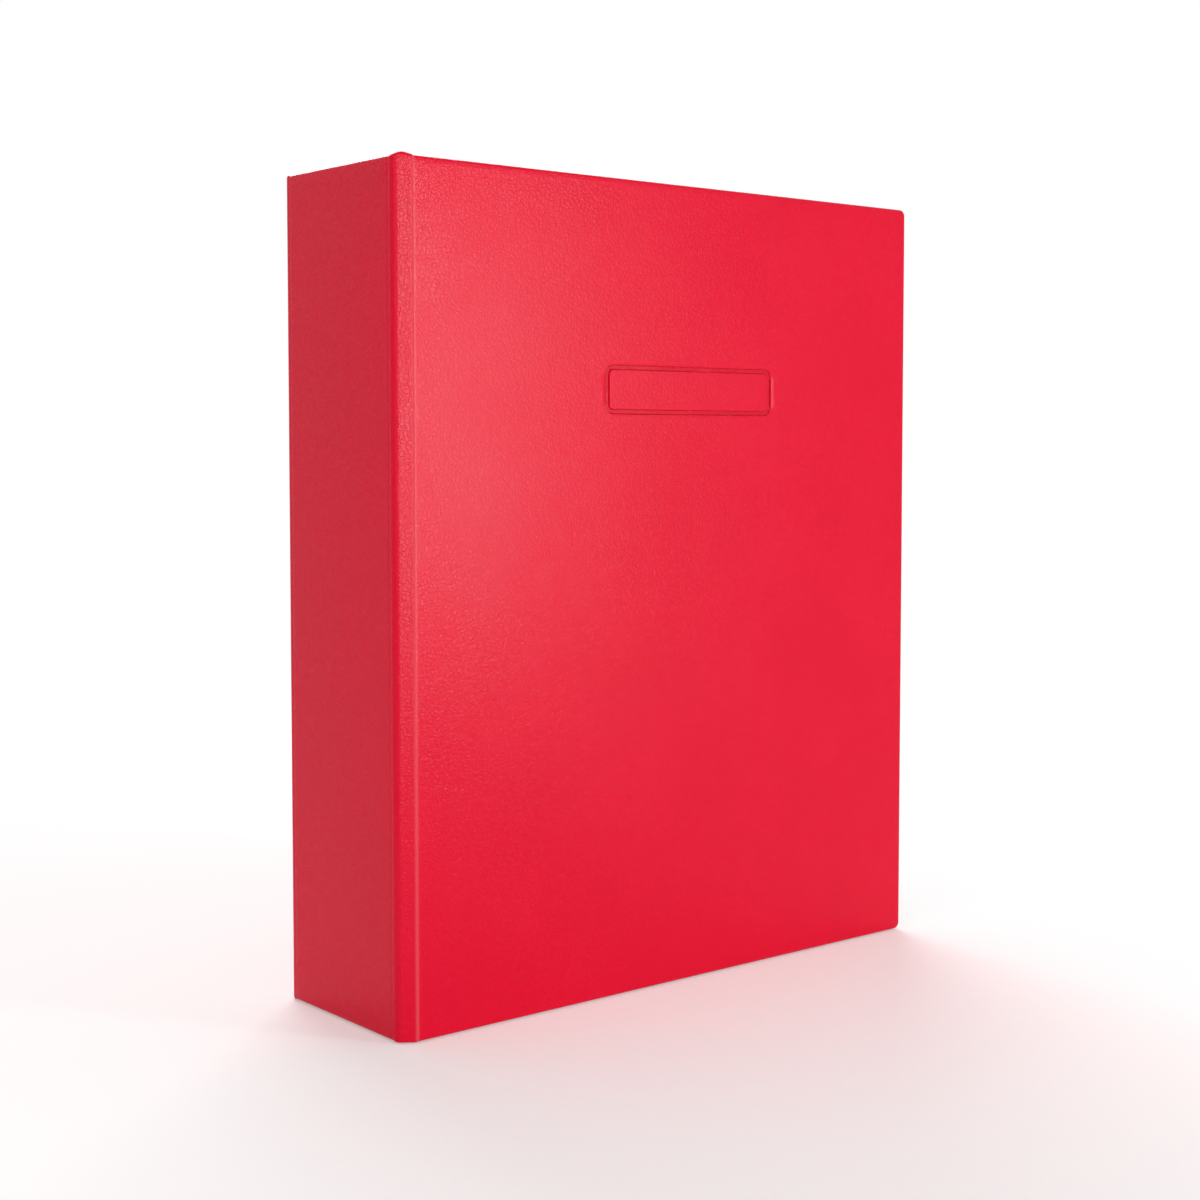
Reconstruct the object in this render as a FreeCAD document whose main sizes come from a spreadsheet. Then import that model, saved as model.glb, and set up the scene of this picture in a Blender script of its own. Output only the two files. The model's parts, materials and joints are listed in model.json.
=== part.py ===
"""A slip-in album: a turned-edge case of three boards, and a block of pocket leaves bound on guards.

The album stands on its tail edge. +Z is up, +X runs from the spine to the fore edge, and the front
cover faces -Y. The origin is at the middle of the footprint. All lengths are in millimetres.
"""
import FreeCAD
import Part
import os
import sys

import Sketcher
from FreeCAD import Placement, Rotation, Vector
from math import pi

# The driving sizes. Everything else is worked out from these, starting from the print that a pocket holds.
SIZES = (
    ("print_long", 152.0, "long side of a print, which lies across the leaf"),
    ("print_short", 102.0, "short side of a print"),
    ("pocket_ease", 1.5, "room round a print in its pocket, each way"),
    ("weld_width", 3.0, "welded seam round a pocket"),
    ("mouth_setback", 9.0, "from the crease of a leaf to the mouths of its pockets"),
    ("leaf_margin", 3.0, "card showing beyond the film at head and tail"),
    ("fore_margin", 1.5, "card showing beyond the film at the fore edge"),
    ("leaf_corner", 4.0, "corner radius of a leaf at the fore edge"),
    ("thumb_width", 26.0, "thumb cut in a pocket's mouth, along the mouth"),
    ("thumb_depth", 7.0, "thumb cut, back from the mouth, with its ends at 45 degrees"),
    ("leaf_count", 36, "leaves in the block"),
    ("leaf_card", 0.35, "thickness of a leaf's card"),
    ("film_gauge", 0.1, "thickness of the pocket film"),
    ("pocket_depth", 0.2, "room under the film for a print"),
    ("guard_thickness", 1.0, "guard strip between two leaves"),
    ("stub_width", 15.5, "width of a guard, from the glue to the crease"),
    ("crease_gap", 0.6, "bend of a leaf at its crease"),
    ("endpaper", 0.2, "thickness of flyleaf, pastedown and joint cloth"),
    ("cover_clearance", 0.2, "between a closed cover and the block"),
    ("joint_flange", 8.0, "joint cloth on the cover and on the block"),
    ("leather", 0.6, "thickness of the leatherette"),
    ("board", 3.0, "thickness of the boards"),
    ("turn_in", 16.0, "leatherette folded over the edge onto the inside"),
    ("pastedown_border", 5.0, "leatherette left showing round a pastedown"),
    ("fit_gap", 0.3, "gap round a sheet laid in between two others"),
    ("hinge_radius", 4.5, "leatherette fold between a cover and the spine"),
    ("cover_corner", 2.0, "corner radius of a cover at the fore edge"),
    ("edge_round", 0.45, "rounding of the leatherette over a board's edge"),
    ("gauze", 0.3, "thickness of the gauze down the spine"),
    ("glue", 0.6, "thickness of the glue that holds the block"),
    ("cover_square", 4.0, "cover standing out beyond the leaves"),
    ("band_radius", 1.2, "bead of a headband"),
    ("band_flange", 8.0, "tape of a headband, glued to the spine"),
)

# Lengths that follow from the driving sizes.
LAYOUT = (
    ("pocket_width", "sizes.print_long + sizes.pocket_ease"),
    ("pocket_height", "sizes.print_short + sizes.pocket_ease"),
    ("film_width", "layout.pocket_width + sizes.weld_width"),
    ("film_height", "2 * layout.pocket_height + 3 * sizes.weld_width"),
    ("film_depth", "sizes.film_gauge + sizes.pocket_depth"),
    ("leaf_width", "sizes.mouth_setback + layout.film_width + sizes.fore_margin"),
    ("leaf_height", "layout.film_height + 2 * sizes.leaf_margin"),
    ("leaf_pitch", "sizes.leaf_card + sizes.guard_thickness"),
    ("stack_depth", "sizes.leaf_count * layout.leaf_pitch + sizes.guard_thickness"),
    ("wrap_depth", "2 * sizes.leather + sizes.board"),
    ("cover_depth", "layout.wrap_depth + sizes.endpaper"),
    ("case_height", "layout.leaf_height + 2 * sizes.cover_square"),
    ("case_depth", "layout.stack_depth + 2 * (sizes.endpaper + sizes.cover_clearance + layout.cover_depth)"),
    ("block_inset", "layout.wrap_depth + sizes.gauze + sizes.glue"),
    ("case_width", "layout.block_inset + sizes.stub_width + layout.leaf_width + sizes.cover_square"),
    ("spine_x", "-layout.case_width / 2"),
    ("front_y", "-layout.case_depth / 2"),
    ("stack_y", "-layout.stack_depth / 2"),
    ("hinge_x", "layout.spine_x + sizes.hinge_radius"),
    ("hinge_y", "layout.front_y + sizes.hinge_radius"),
    ("lining_x", "layout.spine_x + layout.wrap_depth"),
    ("stub_x", "layout.spine_x + layout.block_inset"),
    ("crease_x", "layout.stub_x + sizes.stub_width"),
    ("cover_width", "layout.case_width - sizes.hinge_radius"),
    ("spine_width", "layout.case_depth - 2 * sizes.hinge_radius"),
    ("board_height", "layout.case_height - 2 * sizes.leather"),
    ("board_corner", "sizes.cover_corner - sizes.leather"),
    ("window_height", "layout.case_height - 2 * sizes.turn_in"),
    ("lined_height", "layout.window_height - 2 * sizes.fit_gap"),
    ("joint_x", "layout.lining_x + sizes.fit_gap / 2"),
    ("joint_width", "sizes.endpaper + sizes.joint_flange"),
    ("tipped_x", "layout.joint_x + layout.joint_width"),
)

HALF_TURN = Rotation(Vector(1, 0, 0), 180)
OUT_OF_DATE_STATES = ("Invalid", "Error")


def fill_sheet(doc, name, rows):
    """Makes a sheet with one named cell a row: its name, its value or formula, and a note."""
    sheet = doc.addObject("Spreadsheet::Sheet", name)
    for number, (alias, value, *note) in enumerate(rows, start=1):
        sheet.set(f"A{number}", alias)
        sheet.set(f"B{number}", f"={value}" if isinstance(value, str) else str(value))
        sheet.setAlias(f"B{number}", alias)
        if note:
            sheet.set(f"C{number}", note[0])
    doc.recompute()
    return sheet


def bind(item, **formulas):
    """Binds properties of an object to the sheets; x, y and z are its place."""
    for name, formula in formulas.items():
        item.setExpression(f"Placement.Base.{name}" if name in ("x", "y", "z") else name, formula)
    return item


def box(doc, label, size, place):
    """A flat sheet or strip: its three lengths and its lowest corner, as formulas."""
    piece = doc.addObject("Part::Box", label)
    length, width, height = size
    x, y, z = place
    return bind(piece, Length=length, Width=width, Height=height, x=x, y=y, z=z)


def new_body(doc, label, place, rotation=Rotation()):
    """An empty body at a place given by formulas."""
    body = doc.addObject("PartDesign::Body", label)
    body.Placement = Placement(Vector(), rotation)
    x, y, z = place
    return bind(body, x=x, y=y, z=z)


def new_sketch(body, name, role, offset=None):
    """A sketch on one of the body's own planes, set off along X, Y or Z by a formula if offset gives one."""
    plane = next(item for item in body.Origin.OriginFeatures if item.Role == role)
    sketch = body.newObject("Sketcher::SketchObject", name)
    sketch.AttachmentSupport = [(plane, "")]
    sketch.MapMode = "FlatFace"
    if offset:
        sketch.setExpression("AttachmentOffset.Base.z", offset)
    return sketch


def fix(sketch, kind, *args, formula=None):
    """Adds a constraint, bound to a formula if it has one."""
    if formula is None:
        sketch.addConstraint(Sketcher.Constraint(kind, *args))
        return
    value = float(sketch.evalExpression(formula))
    number = sketch.addConstraint(Sketcher.Constraint(kind, *args, value))
    sketch.setExpression(f"Constraints[{number}]", formula)


def draw_rectangle(sketch, width, height, left="0", low="0"):
    """A rectangle with its low left corner at (left, low) from the sketch's origin."""
    w, h, x, y = (float(sketch.evalExpression(text)) for text in (width, height, left, low))
    first = sketch.GeometryCount
    corners = [Vector(x, y), Vector(x + w, y), Vector(x + w, y + h), Vector(x, y + h)]
    for start, end in zip(corners, corners[1:] + corners[:1]):
        sketch.addGeometry(Part.LineSegment(start, end))
    bottom, right, top, side = range(first, first + 4)
    for one, other in ((bottom, right), (right, top), (top, side), (side, bottom)):
        fix(sketch, "Coincident", one, 2, other, 1)
    for line in (bottom, top):
        fix(sketch, "Horizontal", line)
    for line in (right, side):
        fix(sketch, "Vertical", line)
    fix(sketch, "DistanceX", bottom, 1, bottom, 2, formula=width)
    fix(sketch, "DistanceY", right, 1, right, 2, formula=height)
    for kind, place in (("DistanceX", left), ("DistanceY", low)):
        if place == "0":
            axis = -2 if kind == "DistanceX" else -1
            fix(sketch, "PointOnObject", bottom, 1, axis)
        else:
            fix(sketch, kind, -1, 1, bottom, 1, formula=place)


def draw_sheet(sketch, width, height, corner):
    """A sheet's outline from the sketch's origin, with its two far corners rounded."""
    w, h, r = (float(sketch.evalExpression(text)) for text in (width, height, corner))
    z = Vector(0, 0, 1)
    bottom = sketch.addGeometry(Part.LineSegment(Vector(0, 0), Vector(w - r, 0)))
    low_arc = sketch.addGeometry(Part.ArcOfCircle(Part.Circle(Vector(w - r, r), z, r), -pi / 2, 0))
    right = sketch.addGeometry(Part.LineSegment(Vector(w, r), Vector(w, h - r)))
    top_arc = sketch.addGeometry(Part.ArcOfCircle(Part.Circle(Vector(w - r, h - r), z, r), 0, pi / 2))
    top = sketch.addGeometry(Part.LineSegment(Vector(w - r, h), Vector(0, h)))
    side = sketch.addGeometry(Part.LineSegment(Vector(0, h), Vector(0, 0)))
    for one, other in ((bottom, low_arc), (low_arc, right), (right, top_arc), (top_arc, top)):
        fix(sketch, "Tangent", one, 2, other, 1)
    fix(sketch, "Coincident", top, 2, side, 1)
    fix(sketch, "Coincident", side, 2, bottom, 1)
    fix(sketch, "Coincident", bottom, 1, -1, 1)
    for line in (bottom, top):
        fix(sketch, "Horizontal", line)
    for line in (right, side):
        fix(sketch, "Vertical", line)
    fix(sketch, "Equal", low_arc, top_arc)
    fix(sketch, "Radius", low_arc, formula=corner)
    fix(sketch, "DistanceX", -1, 1, right, 1, formula=width)
    fix(sketch, "DistanceY", side, 2, side, 1, formula=height)


def draw_thumb_cut(sketch, middle):
    """A thumb cut from the sketch's Y axis, about a height: a slot that narrows at 45 degrees."""
    depth = "sizes.thumb_depth"
    low = f"{middle} - sizes.thumb_width / 2"
    high = f"{middle} + sizes.thumb_width / 2"
    places = (("0", low), (depth, f"{low} + {depth}"), (depth, f"{high} - {depth}"), ("0", high))
    first = sketch.GeometryCount
    corners = [Vector(*(float(sketch.evalExpression(text)) for text in place)) for place in places]
    for start, end in zip(corners, corners[1:] + corners[:1]):
        sketch.addGeometry(Part.LineSegment(start, end))
    for number, (x, y) in enumerate(places):
        line = first + number
        fix(sketch, "Coincident", line, 2, first + (number + 1) % len(places), 1)
        fix(sketch, "DistanceY", -1, 1, line, 1, formula=y)
        if x == "0":
            fix(sketch, "PointOnObject", line, 1, -2)
        else:
            fix(sketch, "DistanceX", -1, 1, line, 1, formula=x)


def pad(body, sketch, length, reverse=False):
    """A pad of a sketch by a length."""
    feature = body.newObject("PartDesign::Pad", f"{sketch.Name}_pad")
    feature.Profile = sketch
    feature.Reversed = reverse
    return bind(feature, Length=length)


def pocket(body, sketch, length, reverse=False):
    """A pocket of a sketch by a length."""
    feature = body.newObject("PartDesign::Pocket", f"{sketch.Name}_pocket")
    feature.Profile = sketch
    feature.Reversed = reverse
    return bind(feature, Length=length)


def repeat(body, feature, sketch, length, count):
    """Repeats a pad along +Y, count times over a length; the sketch lies on the XZ plane."""
    pattern = body.newObject("PartDesign::LinearPattern", f"{feature.Name}_row")
    pattern.Originals = [feature]
    pattern.Direction = (sketch, ["N_Axis"])
    pattern.Reversed = True
    bind(pattern, Length=length, Occurrences=count)
    body.Tip = pattern


def group(doc, label, members):
    """Several solids in one node."""
    compound = doc.addObject("Part::Compound", label)
    compound.Links = members
    return compound


def round_edges(doc, body, wanted):
    """Rounds those edges of a body's last feature that a test picks out."""
    doc.recompute()
    base = body.Tip
    names = [f"Edge{n}" for n, edge in enumerate(base.Shape.Edges, start=1) if wanted(edge)]
    fillet = body.newObject("PartDesign::Fillet", f"{base.Name}_round")
    fillet.Base = (base, names)
    return bind(fillet, Radius="sizes.edge_round")


def sheet_body(doc, label, outline, depth, place, rotation=Rotation()):
    """A flat sheet that stands across Y: its outline is width, height and far corner radius."""
    body = new_body(doc, label, place, rotation)
    sketch = new_sketch(body, f"{label}_outline", "XZ_Plane")
    draw_sheet(sketch, *outline)
    pad(body, sketch, depth, reverse=True)
    return body


# The front and back covers are the same pieces, and the back ones are turned half round about X.

def cover_place(inset, low="0"):
    """The corner of a cover's piece that lies inset from the outer face, for front and back."""
    front = ("layout.hinge_x", f"layout.front_y + ({inset})", low)
    back = ("layout.hinge_x", f"-layout.front_y - ({inset})", f"layout.case_height - ({low})")
    return {"front": (front, Rotation()), "back": (back, HALF_TURN)}


def make_board(doc, side):
    """The greyboard of a cover."""
    place, turn = cover_place("sizes.leather", "sizes.leather")[side]
    outline = ("layout.cover_width - sizes.leather", "layout.board_height", "layout.board_corner")
    return sheet_body(doc, f"{side}_board", outline, "sizes.board", place, turn)


def make_cover_leather(doc, side):
    """The leatherette of a cover: outer panel, three folded edges and the turn-ins, round the board."""
    label = f"{side}_leatherette"
    place, turn = cover_place("0")[side]
    outline = ("layout.cover_width", "layout.case_height", "sizes.cover_corner")
    body = sheet_body(doc, label, outline, "layout.wrap_depth", place, turn)

    cavity = new_sketch(body, f"{label}_cavity", "XZ_Plane", "-sizes.leather")
    draw_sheet(cavity, "layout.cover_width - sizes.leather", "layout.board_height", "layout.board_corner")
    cavity.setExpression("AttachmentOffset.Base.y", "sizes.leather")
    pocket(body, cavity, "sizes.board")

    window = new_sketch(body, f"{label}_window", "XZ_Plane", "-layout.wrap_depth")
    draw_rectangle(window, "layout.cover_width - sizes.turn_in", "layout.window_height", low="sizes.turn_in")
    pocket(body, window, "sizes.leather", reverse=True)

    doc.recompute()
    box_of = body.Tip.Shape.BoundBox
    outer_faces = (box_of.YMin, box_of.YMax)

    def on_outer_rim(edge):
        """True for the edges round the outer panel and round the turn-ins, but not at the hinge."""
        limits = edge.BoundBox
        flat = limits.YLength < 1e-6 and any(abs(limits.YMin - y) < 1e-6 for y in outer_faces)
        at_rim = (
            limits.ZMax < box_of.ZMin + 2 * cover_corner
            or limits.ZMin > box_of.ZMax - 2 * cover_corner
            or limits.XMin > box_of.XMax - 2 * cover_corner
        )
        return flat and at_rim

    cover_corner = float(body.evalExpression("sizes.cover_corner"))
    round_edges(doc, body, on_outer_rim)
    return body


def make_infill(doc, side):
    """The card that levels the inside of a cover between its turn-ins."""
    low = "sizes.turn_in + sizes.fit_gap"
    size = ("layout.cover_width - sizes.turn_in - sizes.fit_gap", "sizes.leather", "layout.lined_height")
    y = {
        "front": "layout.front_y + sizes.leather + sizes.board",
        "back": "-layout.front_y - layout.wrap_depth",
    }[side]
    return box(doc, f"{side}_infill", size, ("layout.hinge_x", y, low))


def make_pastedown(doc, side):
    """The endpaper glued to the inside of a cover, over the turn-ins."""
    border = "sizes.pastedown_border"
    left = "layout.tipped_x + sizes.fit_gap"
    width = f"layout.case_width / 2 - {border} - ({left})"
    y = {
        "front": "layout.front_y + layout.wrap_depth",
        "back": "-layout.front_y - layout.cover_depth",
    }[side]
    size = (width, "sizes.endpaper", f"layout.case_height - 2 * {border}")
    return box(doc, f"{side}_pastedown", size, (left, y, border))


def make_hinge_fold(doc, side):
    """The leatherette where it bends from a cover to the spine, with its turn-ins at head and tail."""
    label = f"{side}_hinge_fold"
    direction = {"front": 180, "back": 90}[side]
    y = {"front": "layout.hinge_y", "back": "-layout.hinge_y"}[side]

    def quarter(name, radius, height, low):
        """A quarter of a round bar about the centre of the fold."""
        bar = doc.addObject("Part::Cylinder", name)
        bar.Placement = Placement(Vector(), Rotation(Vector(0, 0, 1), direction))
        bar.Angle = 90
        return bind(bar, Radius=radius, Height=height, x="layout.hinge_x", y=y, z=low)

    outside = quarter(f"{label}_outside", "sizes.hinge_radius", "layout.case_height", "0")
    middle = quarter(
        f"{label}_middle",
        "sizes.hinge_radius - sizes.leather",
        "layout.window_height",
        "sizes.turn_in",
    )
    core = quarter(f"{label}_core", "sizes.hinge_radius - 2 * sizes.leather", "layout.case_height", "0")
    hollow = doc.addObject("Part::Fuse", f"{label}_hollow")
    hollow.Base = middle
    hollow.Tool = core
    fold = doc.addObject("Part::Cut", label)
    fold.Base = outside
    fold.Tool = hollow
    return fold


def make_joint_lining(doc, side):
    """The folded cloth strip that joins the inside of a cover to the block."""
    label = f"{side}_joint_lining"
    place, turn = {
        "front": (("layout.joint_x", "layout.front_y + layout.wrap_depth", "sizes.cover_square"), Rotation()),
        "back": (
            ("layout.joint_x", "-layout.front_y - layout.wrap_depth", "layout.case_height - sizes.cover_square"),
            HALF_TURN,
        ),
    }[side]
    body = new_body(doc, label, place, turn)
    folded = new_sketch(body, f"{label}_folded", "XY_Plane")
    draw_rectangle(folded, "layout.joint_width", "2 * sizes.endpaper + sizes.cover_clearance")
    pad(body, folded, "layout.leaf_height")
    slot = new_sketch(body, f"{label}_slot", "XY_Plane")
    draw_rectangle(slot, "sizes.joint_flange", "sizes.cover_clearance", "sizes.endpaper", "sizes.endpaper")
    pocket(body, slot, "layout.leaf_height", reverse=True)
    return body


# The spine of the case, and what binds the block to it.

def make_spine_board(doc):
    """The greyboard of the spine."""
    size = ("sizes.board", "layout.spine_width", "layout.board_height")
    return box(doc, "spine_board", size, ("layout.spine_x + sizes.leather", "layout.hinge_y", "sizes.leather"))


def make_spine_leather(doc):
    """The leatherette of the spine, folded over the board at head and tail."""
    body = new_body(doc, "spine_leatherette", ("layout.spine_x", "layout.hinge_y", "0"))
    outline = new_sketch(body, "spine_outline", "YZ_Plane")
    draw_rectangle(outline, "layout.spine_width", "layout.case_height")
    pad(body, outline, "layout.wrap_depth")

    cavity = new_sketch(body, "spine_cavity", "YZ_Plane", "sizes.leather")
    draw_rectangle(cavity, "layout.spine_width", "layout.board_height", low="sizes.leather")
    pocket(body, cavity, "sizes.board", reverse=True)

    window = new_sketch(body, "spine_window", "YZ_Plane", "layout.wrap_depth")
    draw_rectangle(window, "layout.spine_width", "layout.window_height", low="sizes.turn_in")
    pocket(body, window, "sizes.leather")

    doc.recompute()
    box_of = body.Tip.Shape.BoundBox

    def at_head_or_tail(edge):
        """True for the long edges of the spine at head and tail."""
        limits = edge.BoundBox
        at_end = abs(limits.ZMin - box_of.ZMin) < 1e-6 or abs(limits.ZMax - box_of.ZMax) < 1e-6
        return limits.ZLength < 1e-6 and limits.XLength < 1e-6 and at_end

    round_edges(doc, body, at_head_or_tail)
    return body


def make_spine_lining(doc):
    """The card strip that levels the inside of the spine between its turn-ins."""
    size = ("sizes.leather", "layout.spine_width", "layout.lined_height")
    place = ("layout.lining_x - sizes.leather", "layout.hinge_y", "sizes.turn_in + sizes.fit_gap")
    return box(doc, "spine_lining", size, place)


def make_gauze(doc):
    """The gauze strip between the spine lining and the glue, short of the headbands' tapes."""
    size = ("sizes.gauze", "layout.stack_depth", "layout.leaf_height - 2 * sizes.band_flange")
    return box(doc, "spine_gauze", size, ("layout.lining_x", "layout.stack_y", "sizes.cover_square + sizes.band_flange"))


def make_glue(doc):
    """The glue that holds guards and leaves to the gauze."""
    size = ("sizes.glue", "layout.stack_depth", "layout.leaf_height")
    return box(doc, "spine_glue", size, ("layout.lining_x + sizes.gauze", "layout.stack_y", "sizes.cover_square"))


def make_headband(doc, label, place, turn):
    """A woven bead along the end of the block, on a tape that is glued down the spine."""
    body = new_body(doc, label, place, turn)
    tape = new_sketch(body, f"{label}_tape", "XZ_Plane")
    draw_rectangle(tape, "sizes.gauze", "sizes.band_flange + sizes.band_radius")
    pad(body, tape, "layout.stack_depth", reverse=True)
    bead = new_sketch(body, f"{label}_bead", "XZ_Plane")
    radius, height = (
        float(bead.evalExpression(text))
        for text in ("sizes.band_radius", "sizes.band_flange + sizes.band_radius")
    )
    circle = bead.addGeometry(Part.Circle(Vector(radius, height), Vector(0, 0, 1), radius))
    fix(bead, "Radius", circle, formula="sizes.band_radius")
    fix(bead, "DistanceX", -1, 1, circle, 3, formula="sizes.band_radius")
    fix(bead, "DistanceY", -1, 1, circle, 3, formula="sizes.band_flange + sizes.band_radius")
    pad(body, bead, "layout.stack_depth", reverse=True)
    return body


def make_guards(doc):
    """The guard strips, one before each leaf and one after the last."""
    body = new_body(doc, "guard_strips", ("layout.stub_x", "layout.stack_y", "sizes.cover_square"))
    outline = new_sketch(body, "guard_outline", "XZ_Plane")
    draw_rectangle(outline, "sizes.stub_width", "layout.leaf_height")
    guard = pad(body, outline, "sizes.guard_thickness", reverse=True)
    repeat(body, guard, outline, "sizes.leaf_count * layout.leaf_pitch", "sizes.leaf_count + 1")
    return body


def make_leaf_roots(doc):
    """The bound edges of the leaves, between the guards, and of the flyleaves, tipped on outside them."""
    body = new_body(
        doc,
        "card_roots",
        ("layout.stub_x", "layout.stack_y + sizes.guard_thickness", "sizes.cover_square"),
    )
    outline = new_sketch(body, "root_outline", "XZ_Plane")
    draw_rectangle(outline, "sizes.stub_width", "layout.leaf_height")
    root = pad(body, outline, "sizes.leaf_card", reverse=True)
    repeat(body, root, outline, "(sizes.leaf_count - 1) * layout.leaf_pitch", "sizes.leaf_count")
    tipped = ("layout.crease_x - layout.tipped_x", "sizes.endpaper", "layout.leaf_height")
    front = ("layout.tipped_x", "layout.stack_y - sizes.endpaper", "sizes.cover_square")
    back = ("layout.tipped_x", "-layout.stack_y", "sizes.cover_square")
    return group(
        doc,
        "leaf_roots",
        [body, box(doc, "front_fly_root", tipped, front), box(doc, "back_fly_root", tipped, back)],
    )


# The leaves, which turn at their creases.

LEAF_OUTLINE = ("layout.leaf_width - sizes.crease_gap", "layout.leaf_height", "sizes.leaf_corner")
LEAF_EDGE = "layout.crease_x + sizes.crease_gap"


def make_flyleaf(doc, side):
    """The free half of an endpaper."""
    y = {"front": "layout.stack_y - sizes.endpaper", "back": "-layout.stack_y"}[side]
    return sheet_body(doc, f"{side}_flyleaf", LEAF_OUTLINE, "sizes.endpaper", (LEAF_EDGE, y, "sizes.cover_square"))


def make_pocket_film(doc, label, place, turn):
    """The clear film of one page: two pockets, open at their mouths and welded round the other sides."""
    body = new_body(doc, label, place, turn)
    outline = new_sketch(body, f"{label}_outline", "XZ_Plane")
    draw_rectangle(outline, "layout.film_width", "layout.film_height")
    pad(body, outline, "layout.film_depth", reverse=True)

    first_low = "sizes.weld_width"
    second_low = "2 * sizes.weld_width + layout.pocket_height"
    room = new_sketch(body, f"{label}_room", "XZ_Plane", "-layout.film_depth")
    thumb = new_sketch(body, f"{label}_thumb", "XZ_Plane")
    for low in (first_low, second_low):
        draw_rectangle(room, "layout.pocket_width", "layout.pocket_height", low=low)
        draw_thumb_cut(thumb, f"{low} + layout.pocket_height / 2")
    pocket(body, room, "sizes.pocket_depth", reverse=True)
    pocket(body, thumb, "layout.film_depth")
    return body


def make_leaves(doc, count):
    """The pocket leaves: one leaf's card and films, set at each leaf's place in the block."""
    card = sheet_body(
        doc,
        "leaf_card_sheet",
        LEAF_OUTLINE,
        "sizes.leaf_card",
        (LEAF_EDGE, "-sizes.leaf_card / 2", "sizes.cover_square"),
    )
    mouth = "layout.crease_x + sizes.mouth_setback"
    low = "sizes.cover_square + sizes.leaf_margin"
    outer = "sizes.leaf_card / 2 + layout.film_depth"
    films = [
        make_pocket_film(doc, "front_page_film", (mouth, f"-({outer})", low), Rotation()),
        make_pocket_film(doc, "back_page_film", (mouth, outer, f"{low} + layout.film_height"), HALF_TURN),
    ]
    leaves = []
    for number in range(1, count + 1):
        leaf = group(doc, f"leaf_{number:02d}", [card, *films])
        y = f"layout.stack_y + {number} * layout.leaf_pitch - sizes.leaf_card / 2"
        leaves.append(bind(leaf, y=y))
    return leaves


def make_album(doc):
    """Every piece of the album, in the order in which it is made up."""
    sizes = fill_sheet(doc, "sizes", SIZES)
    fill_sheet(doc, "layout", LAYOUT)
    pieces = []
    for side in ("front", "back"):
        for make in (
            make_board,
            make_cover_leather,
            make_infill,
            make_pastedown,
            make_hinge_fold,
            make_joint_lining,
            make_flyleaf,
        ):
            pieces.append(make(doc, side))
    for make in (
        make_spine_board,
        make_spine_leather,
        make_spine_lining,
        make_gauze,
        make_glue,
        make_guards,
        make_leaf_roots,
    ):
        pieces.append(make(doc))
    tape_low = "sizes.cover_square + layout.leaf_height - sizes.band_flange"
    head = ("layout.lining_x", "layout.stack_y", tape_low)
    tail = ("layout.lining_x", "-layout.stack_y", f"layout.case_height - ({tape_low})")
    pieces.append(make_headband(doc, "head_band", head, Rotation()))
    pieces.append(make_headband(doc, "tail_band", tail, HALF_TURN))
    pieces += make_leaves(doc, int(sizes.leaf_count))
    doc.recompute()
    return pieces


def check(doc, pieces):
    """Stops the build if an object failed, or a piece has no valid solid."""
    for item in doc.Objects:
        if any(state in OUT_OF_DATE_STATES for state in item.State):
            sys.exit(f"{item.Label} failed: {item.State}")
    for piece in pieces:
        shape = piece.Shape
        if shape.isNull() or not shape.isValid() or not shape.Solids:
            sys.exit(f"{piece.Label} has no valid solid")


def main():
    """Builds the album and writes each piece to its own file."""
    doc = FreeCAD.newDocument("album")
    pieces = make_album(doc)
    check(doc, pieces)
    os.makedirs("parts", exist_ok=True)
    for piece in pieces:
        piece.Shape.exportStep(os.path.join("parts", f"{piece.Label}.step"))
    layout = doc.layout
    print(f"case {layout.case_width:.2f} x {layout.case_depth:.2f} x {layout.case_height:.2f} mm")
    print(f"{len(pieces)} pieces, {sum(len(piece.Shape.Solids) for piece in pieces)} solids")


main()
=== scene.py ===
"""Dresses the slip-in album: leatherette skins, pocket leaves, endpapers, headbands, light and camera.

Lengths in the size classes are in millimetres, and the meshes are in metres, in the frame of the model.
"""
import json
import logging
import math
from collections.abc import Iterable, Sequence
from dataclasses import dataclass, field
from enum import Enum
from itertools import accumulate, islice

import bmesh
import bpy
from mathutils import Matrix, Vector, noise

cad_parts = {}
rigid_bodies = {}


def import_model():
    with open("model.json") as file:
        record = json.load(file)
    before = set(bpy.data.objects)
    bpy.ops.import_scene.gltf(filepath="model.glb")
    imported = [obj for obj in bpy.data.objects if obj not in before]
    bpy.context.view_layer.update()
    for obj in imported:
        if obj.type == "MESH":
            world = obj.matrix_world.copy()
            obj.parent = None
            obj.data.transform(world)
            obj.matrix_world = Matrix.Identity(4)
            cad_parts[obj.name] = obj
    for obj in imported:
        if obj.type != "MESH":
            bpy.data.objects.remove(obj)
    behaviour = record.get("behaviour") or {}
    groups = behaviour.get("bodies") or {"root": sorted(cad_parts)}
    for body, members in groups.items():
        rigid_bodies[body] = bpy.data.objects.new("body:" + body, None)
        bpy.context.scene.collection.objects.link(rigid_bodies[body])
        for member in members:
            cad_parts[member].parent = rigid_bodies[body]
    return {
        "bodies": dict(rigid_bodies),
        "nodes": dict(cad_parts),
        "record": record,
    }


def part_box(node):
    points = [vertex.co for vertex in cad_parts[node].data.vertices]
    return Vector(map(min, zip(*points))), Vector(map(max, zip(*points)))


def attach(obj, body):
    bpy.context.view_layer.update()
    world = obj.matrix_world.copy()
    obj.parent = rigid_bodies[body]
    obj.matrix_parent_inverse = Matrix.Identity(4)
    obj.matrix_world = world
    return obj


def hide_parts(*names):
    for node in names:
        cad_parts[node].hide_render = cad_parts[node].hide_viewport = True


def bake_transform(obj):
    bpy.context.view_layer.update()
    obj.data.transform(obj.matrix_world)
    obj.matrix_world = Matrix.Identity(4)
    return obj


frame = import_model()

MM = 0.001
MERGE = 1e-7
QUARTER = math.pi / 2
NOISE_RANGE = (0.3, 0.7)
FILM_INDEX = 1.49
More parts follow.
